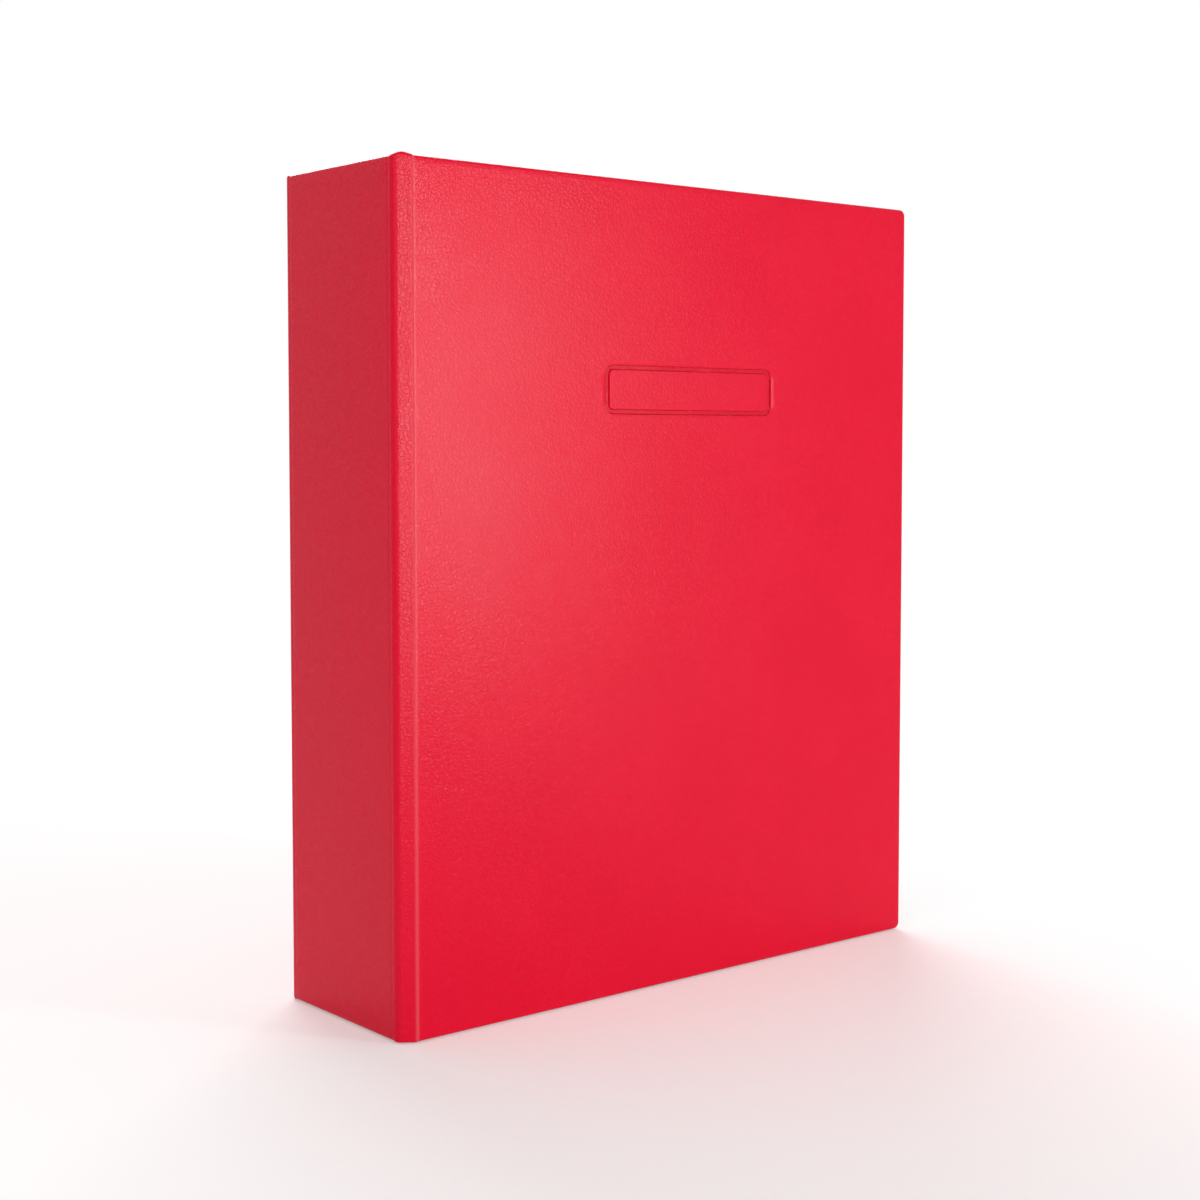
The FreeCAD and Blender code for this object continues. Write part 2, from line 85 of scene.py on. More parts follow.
LEAF_COUNT = sum(1 for body in frame["bodies"] if body.startswith("leaf_"))

log = logging.getLogger("album")

Point = tuple[float, float, float]
Plan = tuple[float, float]
Colour = tuple[float, float, float, float]
Material = bpy.types.Material
Piece = bpy.types.Object
Socket = bpy.types.NodeSocket


class Side(Enum):
    """The two covers, by the sign of the Y axis that they face."""

    FRONT = -1
    BACK = 1

    @property
    def word(self) -> str:
        """The side's name as it stands in the names of nodes and bodies."""
        return self.name.lower()


@dataclass(frozen=True)
class Span:
    """A node's box at rest, in millimetres."""

    low: Point
    high: Point

    @classmethod
    def of(cls, node: str) -> "Span":
        """Reads a node's box from the frame, by the node's name."""
        low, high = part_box(node)
        return cls(tuple(v / MM for v in low), tuple(v / MM for v in high))

    def size(self, axis: int) -> float:
        """The box's length along axis 0, 1 or 2, for X, Y or Z."""
        return self.high[axis] - self.low[axis]


@dataclass(frozen=True)
class Case:
    """The case's main lengths, read from the frame."""

    spine_x: float
    fore_x: float
    depth: float
    height: float
    hinge_radius: float
    wrap_depth: float
    leather: float
    pivot_x: float
    pivot_out: float
    crease: Plan = (-0.025, 0.003)

    @classmethod
    def read(cls) -> "Case":
        """Reads the lengths from the nodes' boxes and the front cover's joint.

        Returns:
            The case's lengths.
        """
        cover, fold, board = (Span.of(f"front_{name}") for name in ("leatherette", "hinge_fold", "board"))
        joints = {joint["name"]: joint for joint in frame["record"]["behaviour"]["joints"]}
        pivot = joints["front_cover_open"]["pos_m"]
        return cls(
            spine_x=fold.low[0],
            fore_x=cover.high[0],
            depth=-2 * cover.low[1],
            height=cover.high[2],
            hinge_radius=fold.size(0),
            wrap_depth=cover.size(1),
            leather=board.low[1] - cover.low[1],
            pivot_x=pivot[0] / MM,
            pivot_out=-pivot[1] / MM,
        )

    @property
    def hinge_x(self) -> float:
        """Where a cover's flat panel starts."""
        return self.spine_x + self.hinge_radius

    @property
    def fold_length(self) -> float:
        """The leatherette's length round the fold between spine and cover."""
        return self.hinge_radius * QUARTER

    @property
    def spine_half(self) -> float:
        """Half the width of the flat spine."""
        return self.depth / 2 - self.hinge_radius

    def by_pivot(self, side: Side, along: float, across: float) -> Plan:
        """A place by a hinge axis: along goes inwards at 45 degrees, and across towards the cover."""
        inwards, sideways = along / math.sqrt(2), across / math.sqrt(2)
        return (self.pivot_x + inwards + sideways, side.value * (self.pivot_out - inwards + sideways))

    def bend(self, piece: Piece, side: Side) -> None:
        """Passes a piece to blend, which bakes its place into its mesh."""
        blend(piece)


def blend(piece: Piece) -> None:
    """Bakes a piece's place into its mesh."""
    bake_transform(piece)


def steps(start: float, end: float, count: int) -> list[float]:
    """Evenly spaced values from start to end, with count intervals between them."""
    return [start + (end - start) * i / count for i in range(count + 1)]


def smooth(value: float, low: float, high: float) -> float:
    """A smooth step of a value, from 0 at low to 1 at high."""
    t = min(1.0, max(0.0, (value - low) / (high - low)))
    return t * t * (3 - 2 * t)


def runs(path: Sequence[Plan]) -> list[float]:
    """The distance along a path to each of its points."""
    return [0.0, *accumulate(math.dist(one, other) for one, other in zip(path, path[1:]))]


def way_out(turn: float, rise: float) -> Vector:
    """The way out from the album, by degrees round it from the front and up.

    Args:
        turn: Degrees from the front, above 0 towards the fore edge.
        rise: Degrees above the floor.

    Returns:
        The direction.
    """
    turn, rise = math.radians(turn), math.radians(rise)
    return Vector((math.sin(turn) * math.cos(rise), -math.cos(turn) * math.cos(rise), math.sin(rise)))


@dataclass
class MeshBuild:
    """Vertices, faces and a flat map of one piece while it is made, in millimetres."""

    points: list[Point] = field(default_factory=list)
    flat: list[Plan] = field(default_factory=list)
    faces: list[tuple[int, ...]] = field(default_factory=list)
    pressed: list[float] = field(default_factory=list)
    # Each vertex's share of painted highlight, a paler colour along the fold's tight round.
    stretched: list[float] = field(default_factory=list)
    marked: list[int] = field(default_factory=list)

    def add(self, point: Point, flat: Plan, pressed: float = 0.0, stretched: float = 0.0) -> int:
        """Adds a vertex.

        Args:
            point: Its place.
            flat: Its place on the piece when laid flat, which the grain follows.
            pressed: How hard it was hot-pressed, from 0 to 1.
            stretched: How much painted highlight it carries, from 0 to 1.

        Returns:
            The vertex's number.
        """
        self.points.append(point)
        self.flat.append(flat)
        self.pressed.append(pressed)
        self.stretched.append(stretched)
        return len(self.points) - 1

    def ribbon(self, one: Sequence[int], other: Sequence[int]) -> None:
        """Joins two rows of vertices of the same length by quads.

        Args:
            one: The first row.
            other: The second row.
        """
        for i in range(len(one) - 1):
            quad = (one[i], one[i + 1], other[i + 1], other[i])
            if len(set(self.points[v] for v in quad)) > 2:
                self.faces.append(quad)

    def rows(self, rows: Sequence[Sequence[int]]) -> None:
        """Joins each row of vertices to the next, where all have the same length."""
        for one, other in zip(rows, rows[1:]):
            self.ribbon(one, other)

    def finish(self, name: str, *materials: Material, smooth_angle: float = 40.0) -> Piece:
        """Makes the Blender object.

        Args:
            name: The piece's name.
            *materials: Its finish, and the finish of its marked faces if it has any.
            smooth_angle: Edges that turn by less than this many degrees are shaded smooth.

        Returns:
            The object, in the frame of the model.
        """
        mesh = bpy.data.meshes.new(name)
        mesh.from_pydata([tuple(v * MM for v in p) for p in self.points], [], self.faces)
        layer = mesh.uv_layers.new(name="flat")
        for loop in mesh.loops:
            u, v = self.flat[loop.vertex_index]
            layer.data[loop.index].uv = (u * MM, v * MM)
        # Stores the pressed depth and the share of painted highlight on the vertices.
        for mark, values in (("pressed", self.pressed), ("stretched", self.stretched)):
            if any(values):
                mesh.attributes.new(mark, "FLOAT", "POINT").data.foreach_set("value", values)
        for material in materials:
            mesh.materials.append(material)
        for number in self.marked:
            mesh.polygons[number].material_index = 1
        piece = bpy.data.objects.new(name, mesh)
        bpy.context.scene.collection.objects.link(piece)
        tidy_mesh(mesh, math.radians(smooth_angle))
        log.info("%s: %d vertices", name, len(mesh.vertices))
        return piece


def tidy_mesh(mesh: bpy.types.Mesh, angle: float) -> None:
    """Merges doubled vertices, turns the faces outwards and sets which edges are sharp.

    Args:
        mesh: The mesh to tidy.
        angle: Edges that turn by more than this, in radians, are sharp.
    """
    work = bmesh.new()
    work.from_mesh(mesh)
    bmesh.ops.remove_doubles(work, verts=work.verts, dist=MERGE)
    bmesh.ops.recalc_face_normals(work, faces=work.faces)
    for face in work.faces:
        face.smooth = True
    for edge in work.edges:
        edge.smooth = len(edge.link_faces) != 2 or edge.calc_face_angle(0.0) < angle
    work.to_mesh(mesh)
    work.free()


class Graph:
    """A material's node graph, round one Principled shader."""

    def __init__(self, name: str) -> None:
        """Starts a material with its shader and output.

        Args:
            name: The material's name.
        """
        self.material = bpy.data.materials.new(f"{name}_finish")
        self.material.use_nodes = True
        self.tree = self.material.node_tree
        self.shader = self.tree.nodes["Principled BSDF"]

    @classmethod
    def of_world(cls, world: bpy.types.World) -> "Graph":
        """Takes the node graph of a world, round its Background shader.

        Args:
            world: The world.

        Returns:
            The graph.
        """
        graph = cls.__new__(cls)
        world.use_nodes = True
        graph.tree = world.node_tree
        graph.shader = graph.tree.nodes["Background"]
        return graph

    def node(self, kind: str, inputs: dict | None = None, **settings: object) -> bpy.types.Node:
        """Adds a node.

        Args:
            kind: The node's type, without its ShaderNode prefix.
            inputs: Values or sockets for its inputs, by name or number.
            **settings: Its own properties.

        Returns:
            The node.
        """
        made = self.tree.nodes.new(f"ShaderNode{kind}")
        for key, value in settings.items():
            setattr(made, key, value)
        for key, value in (inputs or {}).items():
            self.set(made.inputs[key], value)
        return made

    def set(self, socket: Socket, value: object) -> None:
        """Sets a socket to a value, or links it to another socket.

        Args:
            socket: The input.
            value: A number, a colour or an output socket.
        """
        if isinstance(value, Socket):
            self.tree.links.new(value, socket)
        else:
            socket.default_value = value

    def flat_map(self, stretch: Point = (1, 1, 1)) -> Socket:
        """The piece's flat map in metres, times factors along and across it."""
        source = self.node("UVMap", uv_map="flat").outputs["UV"]
        return self.node("Mapping", {"Vector": source, "Scale": stretch}).outputs["Vector"]

    def solid_map(self, stretch: Point = (1, 1, 1)) -> Socket:
        """The place in the solid in metres, for a piece with no flat map, times factors."""
        source = self.node("TexCoord").outputs["Object"]
        return self.node("Mapping", {"Vector": source, "Scale": stretch}).outputs["Vector"]

    def noise(self, place: Socket, size: float, detail: float = 3, twist: float = 0) -> Socket:
        """Noise by the size of its features in millimetres, its finer layers and its distortion."""
        inputs = {"Vector": place, "Scale": 1 / (size * MM), "Detail": detail, "Distortion": twist}
        return self.node("TexNoise", inputs).outputs["Fac"]

    def math(self, operation: str, *values: object) -> Socket:
        """Arithmetic on sockets and numbers, by the Math node's operation."""
        return self.node("Math", dict(enumerate(values)), operation=operation).outputs[0]

    def mix(self, factor: object, one: object, other: object) -> Socket:
        """A colour between two colours.

        Args:
            factor: 0 for the first and 1 for the second.
            one: The first colour.
            other: The second colour.

        Returns:
            The colour socket.
        """
        made = self.node("Mix", data_type="RGBA")
        for number, value in ((0, factor), (6, one), (7, other)):
            self.set(made.inputs[number], value)
        return made.outputs[2]

    def spread(self, value: Socket, low: float, high: float, to_low: float, to_high: float) -> Socket:
        """Maps the range from low to high onto another, with a smooth step."""
        inputs = {0: value, 1: low, 2: high, 3: to_low, 4: to_high}
        return self.node("MapRange", inputs, interpolation_type="SMOOTHSTEP").outputs[0]

    def usual(self, value: Socket, to_low: float, to_high: float) -> Socket:
        """Maps the usual range of a noise onto another."""
        return self.spread(value, *NOISE_RANGE, to_low, to_high)

    def waves(self, place: Socket, length: float) -> Socket:
        """A sine wave along a place in metres, by its length in millimetres."""
        return self.math("SINE", self.math("MULTIPLY", place, 2 * math.pi / (length * MM)))

    def weigh(self, values: Sequence[Socket], shares: Sequence[float]) -> Socket:
        """A weighted sum.

        Args:
            values: The sockets.
            shares: The weight of each.

        Returns:
            The value socket.
        """
        total = 0.0
        for value, share in zip(values, shares):
            total = self.math("MULTIPLY_ADD", value, share, total)
        return total

    def seen(self) -> Socket:
        """1 for what the camera sees, straight, in gloss or through film, and 0 for light on the pieces."""
        path = self.node("LightPath").outputs
        shiny = self.math("MAXIMUM", path["Is Glossy Ray"], path["Is Transmission Ray"])
        return self.math("MAXIMUM", path["Is Camera Ray"], shiny)

    def relief(self, height: Socket, depth: float, strength: float = 1.0) -> None:
        """Bumps the surface by a height from 0 to 1, where 1 stands for a depth in millimetres."""
        inputs = {"Height": height, "Distance": depth * MM, "Strength": strength}
        self.set(self.shader.inputs["Normal"], self.node("Bump", inputs).outputs["Normal"])

    def surface(self, **inputs: object) -> None:
        """Sets the shader's inputs, with underscores for the spaces in their names."""
        for name, value in inputs.items():
            self.set(self.shader.inputs[name.replace("_", " ")], value)


def colour(red: float, green: float, blue: float) -> Colour:
    """A linear colour with full alpha."""
    return (red, green, blue, 1.0)


WHITE = colour(1.0, 1.0, 1.0)
GREY, DARK_GREY = colour(0.33, 0.31, 0.28), colour(0.22, 0.21, 0.19)
BUFF, DARK_BUFF = colour(0.62, 0.56, 0.46), colour(0.54, 0.48, 0.38)
CREAM, DARK_CREAM = colour(0.82, 0.80, 0.75), colour(0.76, 0.74, 0.68)
BOARD_WHITE, DARK_BOARD_WHITE = colour(0.80, 0.79, 0.75), colour(0.70, 0.69, 0.65)
CARD_WHITE, DARK_CARD_WHITE = colour(0.86, 0.86, 0.85), colour(0.81, 0.81, 0.80)
CLOTH, DARK_CLOTH = colour(0.80, 0.78, 0.72), colour(0.62, 0.60, 0.55)
GAUZE, DARK_GAUZE = colour(0.74, 0.70, 0.60), colour(0.40, 0.37, 0.30)


@dataclass(frozen=True)
class Leatherette:
    """Coated leatherette with a fine calf grain: creases, pores and a slow change of tone."""

    name: str = "leatherette"
    light: Colour = colour(0.780, 0.0032, 0.0315)
    dark: Colour = colour(0.752, 0.0026, 0.0290)
    pressed: Colour = colour(0.40, 0.0012, 0.0090)
    press_tone: float = 0.4
    # Painted highlight: a paler colour, mixed in along the tight round where the fold meets the panel.
    stretched: Colour = colour(0.80, 0.085, 0.105)
    stretch_tone: float = 0.8
    wander_size: float = 1.9
    wander_detail: float = 2.0
    wander: float = 0.64
    crease_size: float = 1.2
    crease_edge: float = 0.22
    wrinkle_size: float = 0.88
    wrinkle_run: Point = (0.55, 1.0, 1.0)
    wrinkle_detail: float = 1.5
    wrinkle_twist: float = 1.2
    pore_size: float = 0.30
    pore_detail: float = 2.0
    tone_size: float = 38.0
    height_shares: Point = (0.06, 0.64, 0.30)
    # How far the colour darkens where the grain lies low.
    worn_range: Plan = (0.35, 1.1)
    worn_tone: float = 0.25
    rough_shares: Plan = (0.4, 0.6)
    rough: Plan = (0.22, 0.29)
    shine_range: Plan = (0.40, 0.85)
    shine: Plan = (0.108, 0.175)
    grain_depth: float = 0.046

    def build(self) -> Material:
        """Makes the material.

        Returns:
            The material.
        """
        g = Graph(self.name)
        place = g.flat_map()
        inputs = {"Vector": place, "Scale": 1 / (self.wander_size * MM), "Detail": self.wander_detail}
        wander = g.node("TexNoise", inputs).outputs["Color"]
        reach = (self.wander * MM,) * 3
        shift = g.node("VectorMath", {0: wander, 1: reach}, operation="MULTIPLY").outputs[0]
        moved = g.node("VectorMath", {0: place, 1: shift}, operation="ADD").outputs[0]
        inputs = {"Vector": moved, "Scale": 1 / (self.crease_size * MM)}
        cells = g.node("TexVoronoi", inputs, feature="DISTANCE_TO_EDGE").outputs["Distance"]
        creases = g.spread(cells, 0.0, self.crease_edge, 0.0, 1.0)
        run = g.flat_map(self.wrinkle_run)
        wrinkles = g.noise(run, self.wrinkle_size, self.wrinkle_detail, self.wrinkle_twist)
        pores = g.noise(place, self.pore_size, self.pore_detail)
        height = g.weigh((pores, wrinkles, creases), self.height_shares)
        tone = g.noise(place, self.tone_size)
        base = g.mix(g.usual(tone, 0.0, 1.0), self.dark, self.light)
        # Darker where the grain lies low.
        darker_in_hollows = g.mix(g.spread(height, *self.worn_range, self.worn_tone, 0.0), base, self.dark)
        press = g.node("Attribute", attribute_name="pressed").outputs["Fac"]
        debossed = g.mix(g.math("MULTIPLY", press, self.press_tone), darker_in_hollows, self.pressed)
        # Painted highlight: the base colour turns paler by each vertex's share of the highlight.
        stretch = g.node("Attribute", attribute_name="stretched").outputs["Fac"]
        g.surface(
            Base_Color=g.mix(g.math("MULTIPLY", stretch, self.stretch_tone), debossed, self.stretched),
            Roughness=g.usual(g.weigh((pores, tone), self.rough_shares), *self.rough),
            Specular_IOR_Level=g.spread(height, *self.shine_range, *self.shine),
        )
        g.relief(height, self.grain_depth)
        return g.material


@dataclass(frozen=True)
class Paper:
    """Paper or card: fibres, a slight mottle and a matte tooth."""

    name: str
    light: Colour
    dark: Colour
    fibre: float = 0.5
    tooth: float = 0.02
    rough: float = 0.82
    fibre_run: Point = (1.0, 1.0, 0.35)
    fibre_detail: float = 4.0
    fibre_twist: float = 0.8
    mottle: float = 9.0
    shares: Plan = (0.15, 0.85)
    tint: Plan = (0.35, 0.65)
    rough_swing: float = 0.06
    shine: float = 0.25

    def build(self) -> Material:
        """Makes the material.

        Returns:
            The material.
        """
        g = Graph(self.name)
        fibres = g.noise(g.solid_map(self.fibre_run), self.fibre, self.fibre_detail, self.fibre_twist)
        mixed = g.weigh((g.noise(g.solid_map(), self.mottle), fibres), self.shares)
        g.surface(
            Base_Color=g.mix(g.spread(mixed, *self.tint, 0.0, 1.0), self.dark, self.light),
            Roughness=g.usual(fibres, self.rough - self.rough_swing, self.rough + self.rough_swing),
            Specular_IOR_Level=self.shine,
        )
        g.relief(fibres, self.tooth)
        return g.material


@dataclass(frozen=True)
class Weave:
    """Plain-woven cloth or gauze, by its thread spacing."""

    name: str
    light: Colour
    dark: Colour
    thread: float
    tooth: float = 0.06
    fuzz_threads: float = 1.4
    weave_share: float = 0.35
    tint: Plan = (0.15, 0.85)
    rough: Plan = (0.78, 0.92)
    shine: float = 0.2

    def build(self) -> Material:
        """Makes the material.

        Returns:
            The material.
        """
        g = Graph(self.name)
        split = g.node("SeparateXYZ", {0: g.solid_map()}).outputs
        across = g.waves(g.math("ADD", split["X"], split["Y"]), self.thread)
        checks = g.math("MULTIPLY", across, g.waves(split["Z"], self.thread))
        fuzz = g.noise(g.solid_map(), self.thread * self.fuzz_threads)
        height = g.math("MULTIPLY_ADD", checks, self.weave_share, fuzz)
        g.surface(
            Base_Color=g.mix(g.spread(height, *self.tint, 0.0, 1.0), self.dark, self.light),
            Roughness=g.usual(fuzz, *self.rough),
            Specular_IOR_Level=self.shine,
        )
        g.relief(height, self.tooth)
        return g.material


@dataclass(frozen=True)
class PocketFilm:
    """Clear film: faint haze, slight waviness and fine scuffs."""

    name: str = "pocket_film"
    haze: Colour = colour(0.93, 0.95, 0.97)
    scuffed: Colour = colour(0.80, 0.84, 0.88)
    scuff_size: float = 3.0
    scuff_run: Point = (1.0, 4.0, 1.0)
    scuff_detail: float = 5.0
    scuff_range: Plan = (0.4, 0.8)
    scuff_tone: float = 0.3
    wave_size: float = 22.0
    wave_run: Point = (1.0, 0.5, 1.0)
    wave_detail: float = 2.0
    wave_depth: float = 0.35
    wave_strength: float = 0.5
    alpha_range: Plan = (0.45, 0.85)
    alpha: Plan = (0.18, 0.26)
    rough_size: float = 6.0
    rough: Plan = (0.05, 0.18)

    def build(self) -> Material:
        """Makes the material.

        Returns:
            The material.
        """
        g = Graph(self.name)
        waves = g.noise(g.flat_map(self.wave_run), self.wave_size, self.wave_detail)
        scuffs = g.noise(g.flat_map(self.scuff_run), self.scuff_size, self.scuff_detail)
        tone = g.spread(scuffs, *self.scuff_range, 0.0, self.scuff_tone)
        g.surface(
            Base_Color=g.mix(tone, self.haze, self.scuffed),
            Roughness=g.usual(g.noise(g.flat_map(), self.rough_size), *self.rough),
            Alpha=g.spread(scuffs, *self.alpha_range, *self.alpha),
            IOR=FILM_INDEX,
            Specular_IOR_Level=1.0,
        )
        g.relief(waves, self.wave_depth, self.wave_strength)
        return g.material


@dataclass(frozen=True)
class FilmWeld:
    """The film where it is welded down or cut: frosted by the fine ribs of the welding bar."""

    name: str = "film_weld"
    frost: Colour = colour(0.88, 0.90, 0.92)
    shade: Colour = colour(0.70, 0.74, 0.78)
    alpha: Plan = (0.43, 0.67)
    rough: Plan = (0.25, 0.45)
    rib: float = 0.7
    rib_depth: float = 0.05

    def build(self) -> Material:
        """Makes the material.

        Returns:
            The material.
        """
        g = Graph(self.name)
        split = g.node("SeparateXYZ", {0: g.flat_map()}).outputs
        ribs = g.waves(g.math("ADD", split["X"], split["Y"]), self.rib)
        g.surface(
            Base_Color=g.mix(g.spread(ribs, -1.0, 1.0, 0.0, 1.0), self.shade, self.frost),
            Roughness=g.spread(ribs, -1.0, 1.0, *self.rough),
            Alpha=g.spread(ribs, -1.0, 1.0, *self.alpha),
            IOR=FILM_INDEX,
        )
        g.relief(ribs, self.rib_depth)
        return g.material


@dataclass(frozen=True)
class Glue:
    """Hot-melt glue: amber, soft gloss and slow ripples."""

    name: str = "binder_glue"
    light: Colour = colour(0.72, 0.60, 0.36)
    dark: Colour = colour(0.60, 0.47, 0.24)
    ripple: float = 3.5
    ripple_detail: float = 3.0
    ripple_twist: float = 0.6
    ripple_depth: float = 0.25
    rough: Plan = (0.22, 0.36)

    def build(self) -> Material:
        """Makes the material.

        Returns:
            The material.
        """
        g = Graph(self.name)
        ripples = g.noise(g.solid_map(), self.ripple, self.ripple_detail, self.ripple_twist)
        g.surface(
            Base_Color=g.mix(g.usual(ripples, 0.0, 1.0), self.dark, self.light),
            Roughness=g.usual(ripples, *self.rough),
        )
        g.relief(ripples, self.ripple_depth)
        return g.material


@dataclass(frozen=True)
class BandThread:
    """Silky thread wound in two colours along the flat map's first axis."""

    name: str = "headband"
    first: Colour = colour(0.48, 0.010, 0.020)
    second: Colour = colour(0.80, 0.77, 0.70)
    shadow: Colour = colour(0.16, 0.05, 0.05)
    shadow_tone: float = 0.30
    pitch: float = 2.4
    lean: float = 0.35
    edge: float = 0.12
    fibre: float = 0.12
    fibre_run: Point = (1.0, 0.15, 1.0)
    fibre_depth: float = 0.05
    rough: Plan = (0.38, 0.55)
    sheen: float = 0.3

    def build(self) -> Material:
        """Makes the material.

        Returns:
            The material.
        """
        g = Graph(self.name)
        split = g.node("SeparateXYZ", {0: g.flat_map()}).outputs
        stripe = g.waves(g.math("MULTIPLY_ADD", split["Y"], self.lean, split["X"]), self.pitch)
        fibres = g.noise(g.flat_map(self.fibre_run), self.fibre)
        tint = g.mix(g.spread(stripe, -self.edge, self.edge, 0.0, 1.0), self.first, self.second)
        g.surface(
            Base_Color=g.mix(g.usual(fibres, self.shadow_tone, 0.0), tint, self.shadow),
            Roughness=g.usual(fibres, *self.rough),
            Sheen_Weight=self.sheen,
        )
        g.relief(fibres, self.fibre_depth)
        return g.material


@dataclass(frozen=True)
class Finishes:
    """Every finish of the album, made once."""

    leatherette: Material
    greyboard: Material
    lining_card: Material
    endpaper: Material
    joint_cloth: Material
    gauze: Material
    binder_glue: Material
    guard_board: Material
    leaf_card: Material
    headband: Material
    pocket_film: Material
    film_weld: Material

    @classmethod
    def make(cls) -> "Finishes":
        """Makes the materials.

        Returns:
            The finishes.
        """
        papers = (
            Paper("greyboard", GREY, DARK_GREY, fibre=0.9, tooth=0.08, rough=0.9),
            Paper("lining_card", BUFF, DARK_BUFF, fibre=0.7),
            Paper("endpaper", CREAM, DARK_CREAM, fibre=0.45),
            Paper("guard_board", BOARD_WHITE, DARK_BOARD_WHITE, fibre=0.6, tooth=0.03),
            Paper("leaf_card", CARD_WHITE, DARK_CARD_WHITE, fibre=0.4, tooth=0.012, rough=0.7),
        )
        weaves = (
            Weave("joint_cloth", CLOTH, DARK_CLOTH, thread=0.45),
            Weave("gauze", GAUZE, DARK_GAUZE, thread=1.0, tooth=0.12),
        )
        others = (Leatherette(), Glue(), BandThread(), PocketFilm(), FilmWeld())
        return cls(**{finish.name: finish.build() for finish in (*papers, *weaves, *others)})


@dataclass(frozen=True)
class Ripple:
    """One size of the slight unevenness of leatherette glued on a board."""

    size: float
    depth: float
    offset: Point = (0.0, 0.0, 0.0)

    def at(self, point: Point) -> float:
        """How far the surface stands in at a place."""
        return self.depth * noise.noise(Vector(point) / self.size + Vector(self.offset))


RIPPLES = (Ripple(34.0, 0.022), Ripple(9.0, 0.008, (7.1, 3.3, 1.9)))


def unevenness(point: Point) -> float:
    """How far uneven leatherette stands in at a place, in millimetres."""
    return sum(ripple.at(point) for ripple in RIPPLES)


@dataclass(frozen=True)
class TitleFrame:
    """A plain debossed frame for a title on the front cover, by its middle line."""

    left: float = -26.7
    right: float = 35.9
    low: float = 165.2
    high: float = 177.6
    corner: float = 2.0
    stroke: float = 1.2
    depth: float = 0.55
    slope: float = 0.24
    groove_steps: int = 10
    corner_steps: int = 7

    def inset(self, x: float, z: float) -> float:
        """How far the frame's groove lies below the surface.

        Args:
            x: Place across the cover.
            z: Place up the cover.

        Returns:
            The depth in millimetres.
        """
        half_x = (self.right - self.left) / 2 - self.corner
        half_z = (self.high - self.low) / 2 - self.corner
        dx = abs(x - (self.left + self.right) / 2) - half_x
        dz = abs(z - (self.low + self.high) / 2) - half_z
        outside = math.hypot(max(dx, 0.0), max(dz, 0.0))
        away = abs(outside + min(max(dx, dz), 0.0) - self.corner)
        edge = (self.stroke - self.slope) / 2
        return self.depth * (1.0 - smooth(away, edge, edge + self.slope))

    def lines(self, low: float, high: float) -> list[float]:
        """Mesh lines that the groove needs near two of its opposite sides.

        Args:
            low: The first side's middle line.
            high: The second side's middle line.

        Returns:
            Places across the sides, in order.
        """
        reach = self.stroke / 2 + self.slope
        fine = steps(-reach, reach, self.groove_steps)
        fine += steps(reach, self.corner + reach, self.corner_steps)[1:]
        return sorted([low + v for v in fine] + [high - v for v in fine])


@dataclass(frozen=True)
class FoldSection:
    """The fold's section: a round off the spine, a flatter facet and a tighter round onto the cover."""

    reach: float
    facet: float = 3.8
    facet_turn: float = math.radians(55.0)

    def rounds(self) -> tuple[float, float]:
        """The radii of the two rounds, which bring the section from the spine to the cover.

        Returns:
            The radius at the spine and the radius at the cover.
        """
        sin, cos = math.sin(self.facet_turn), math.cos(self.facet_turn)
        rows = Matrix(((1 - cos, cos), (sin, 1 - sin)))
        left = Vector((self.reach - self.facet * sin, self.reach - self.facet * cos))
        return tuple(rows.inverted() @ left)

    def at(self, share: float) -> tuple[float, float, float]:
        """A point of the section.

        Args:
            share: How far along it, from 0 at the spine to 1 at the cover.

        Returns:
            The distance in from the spine's face, the distance out from the spine's edge, and the skin's
            turn in radians.
        """
        first, second = self.rounds()
        sin, cos = math.sin(self.facet_turn), math.cos(self.facet_turn)
        ends = (first * self.facet_turn, self.facet, second * (QUARTER - self.facet_turn))
        run = share * sum(ends)
        if run < ends[0]:
            turn = run / first
            return (first * (1 - math.cos(turn)), first * math.sin(turn), turn)
        run -= ends[0]
        if run < ends[1]:
            return (first * (1 - cos) + run * sin, first * sin + run * cos, self.facet_turn)
        turn = self.facet_turn + (run - ends[1]) / second
        return (self.reach - second * math.cos(turn), self.reach - second * (1 - math.sin(turn)), turn)


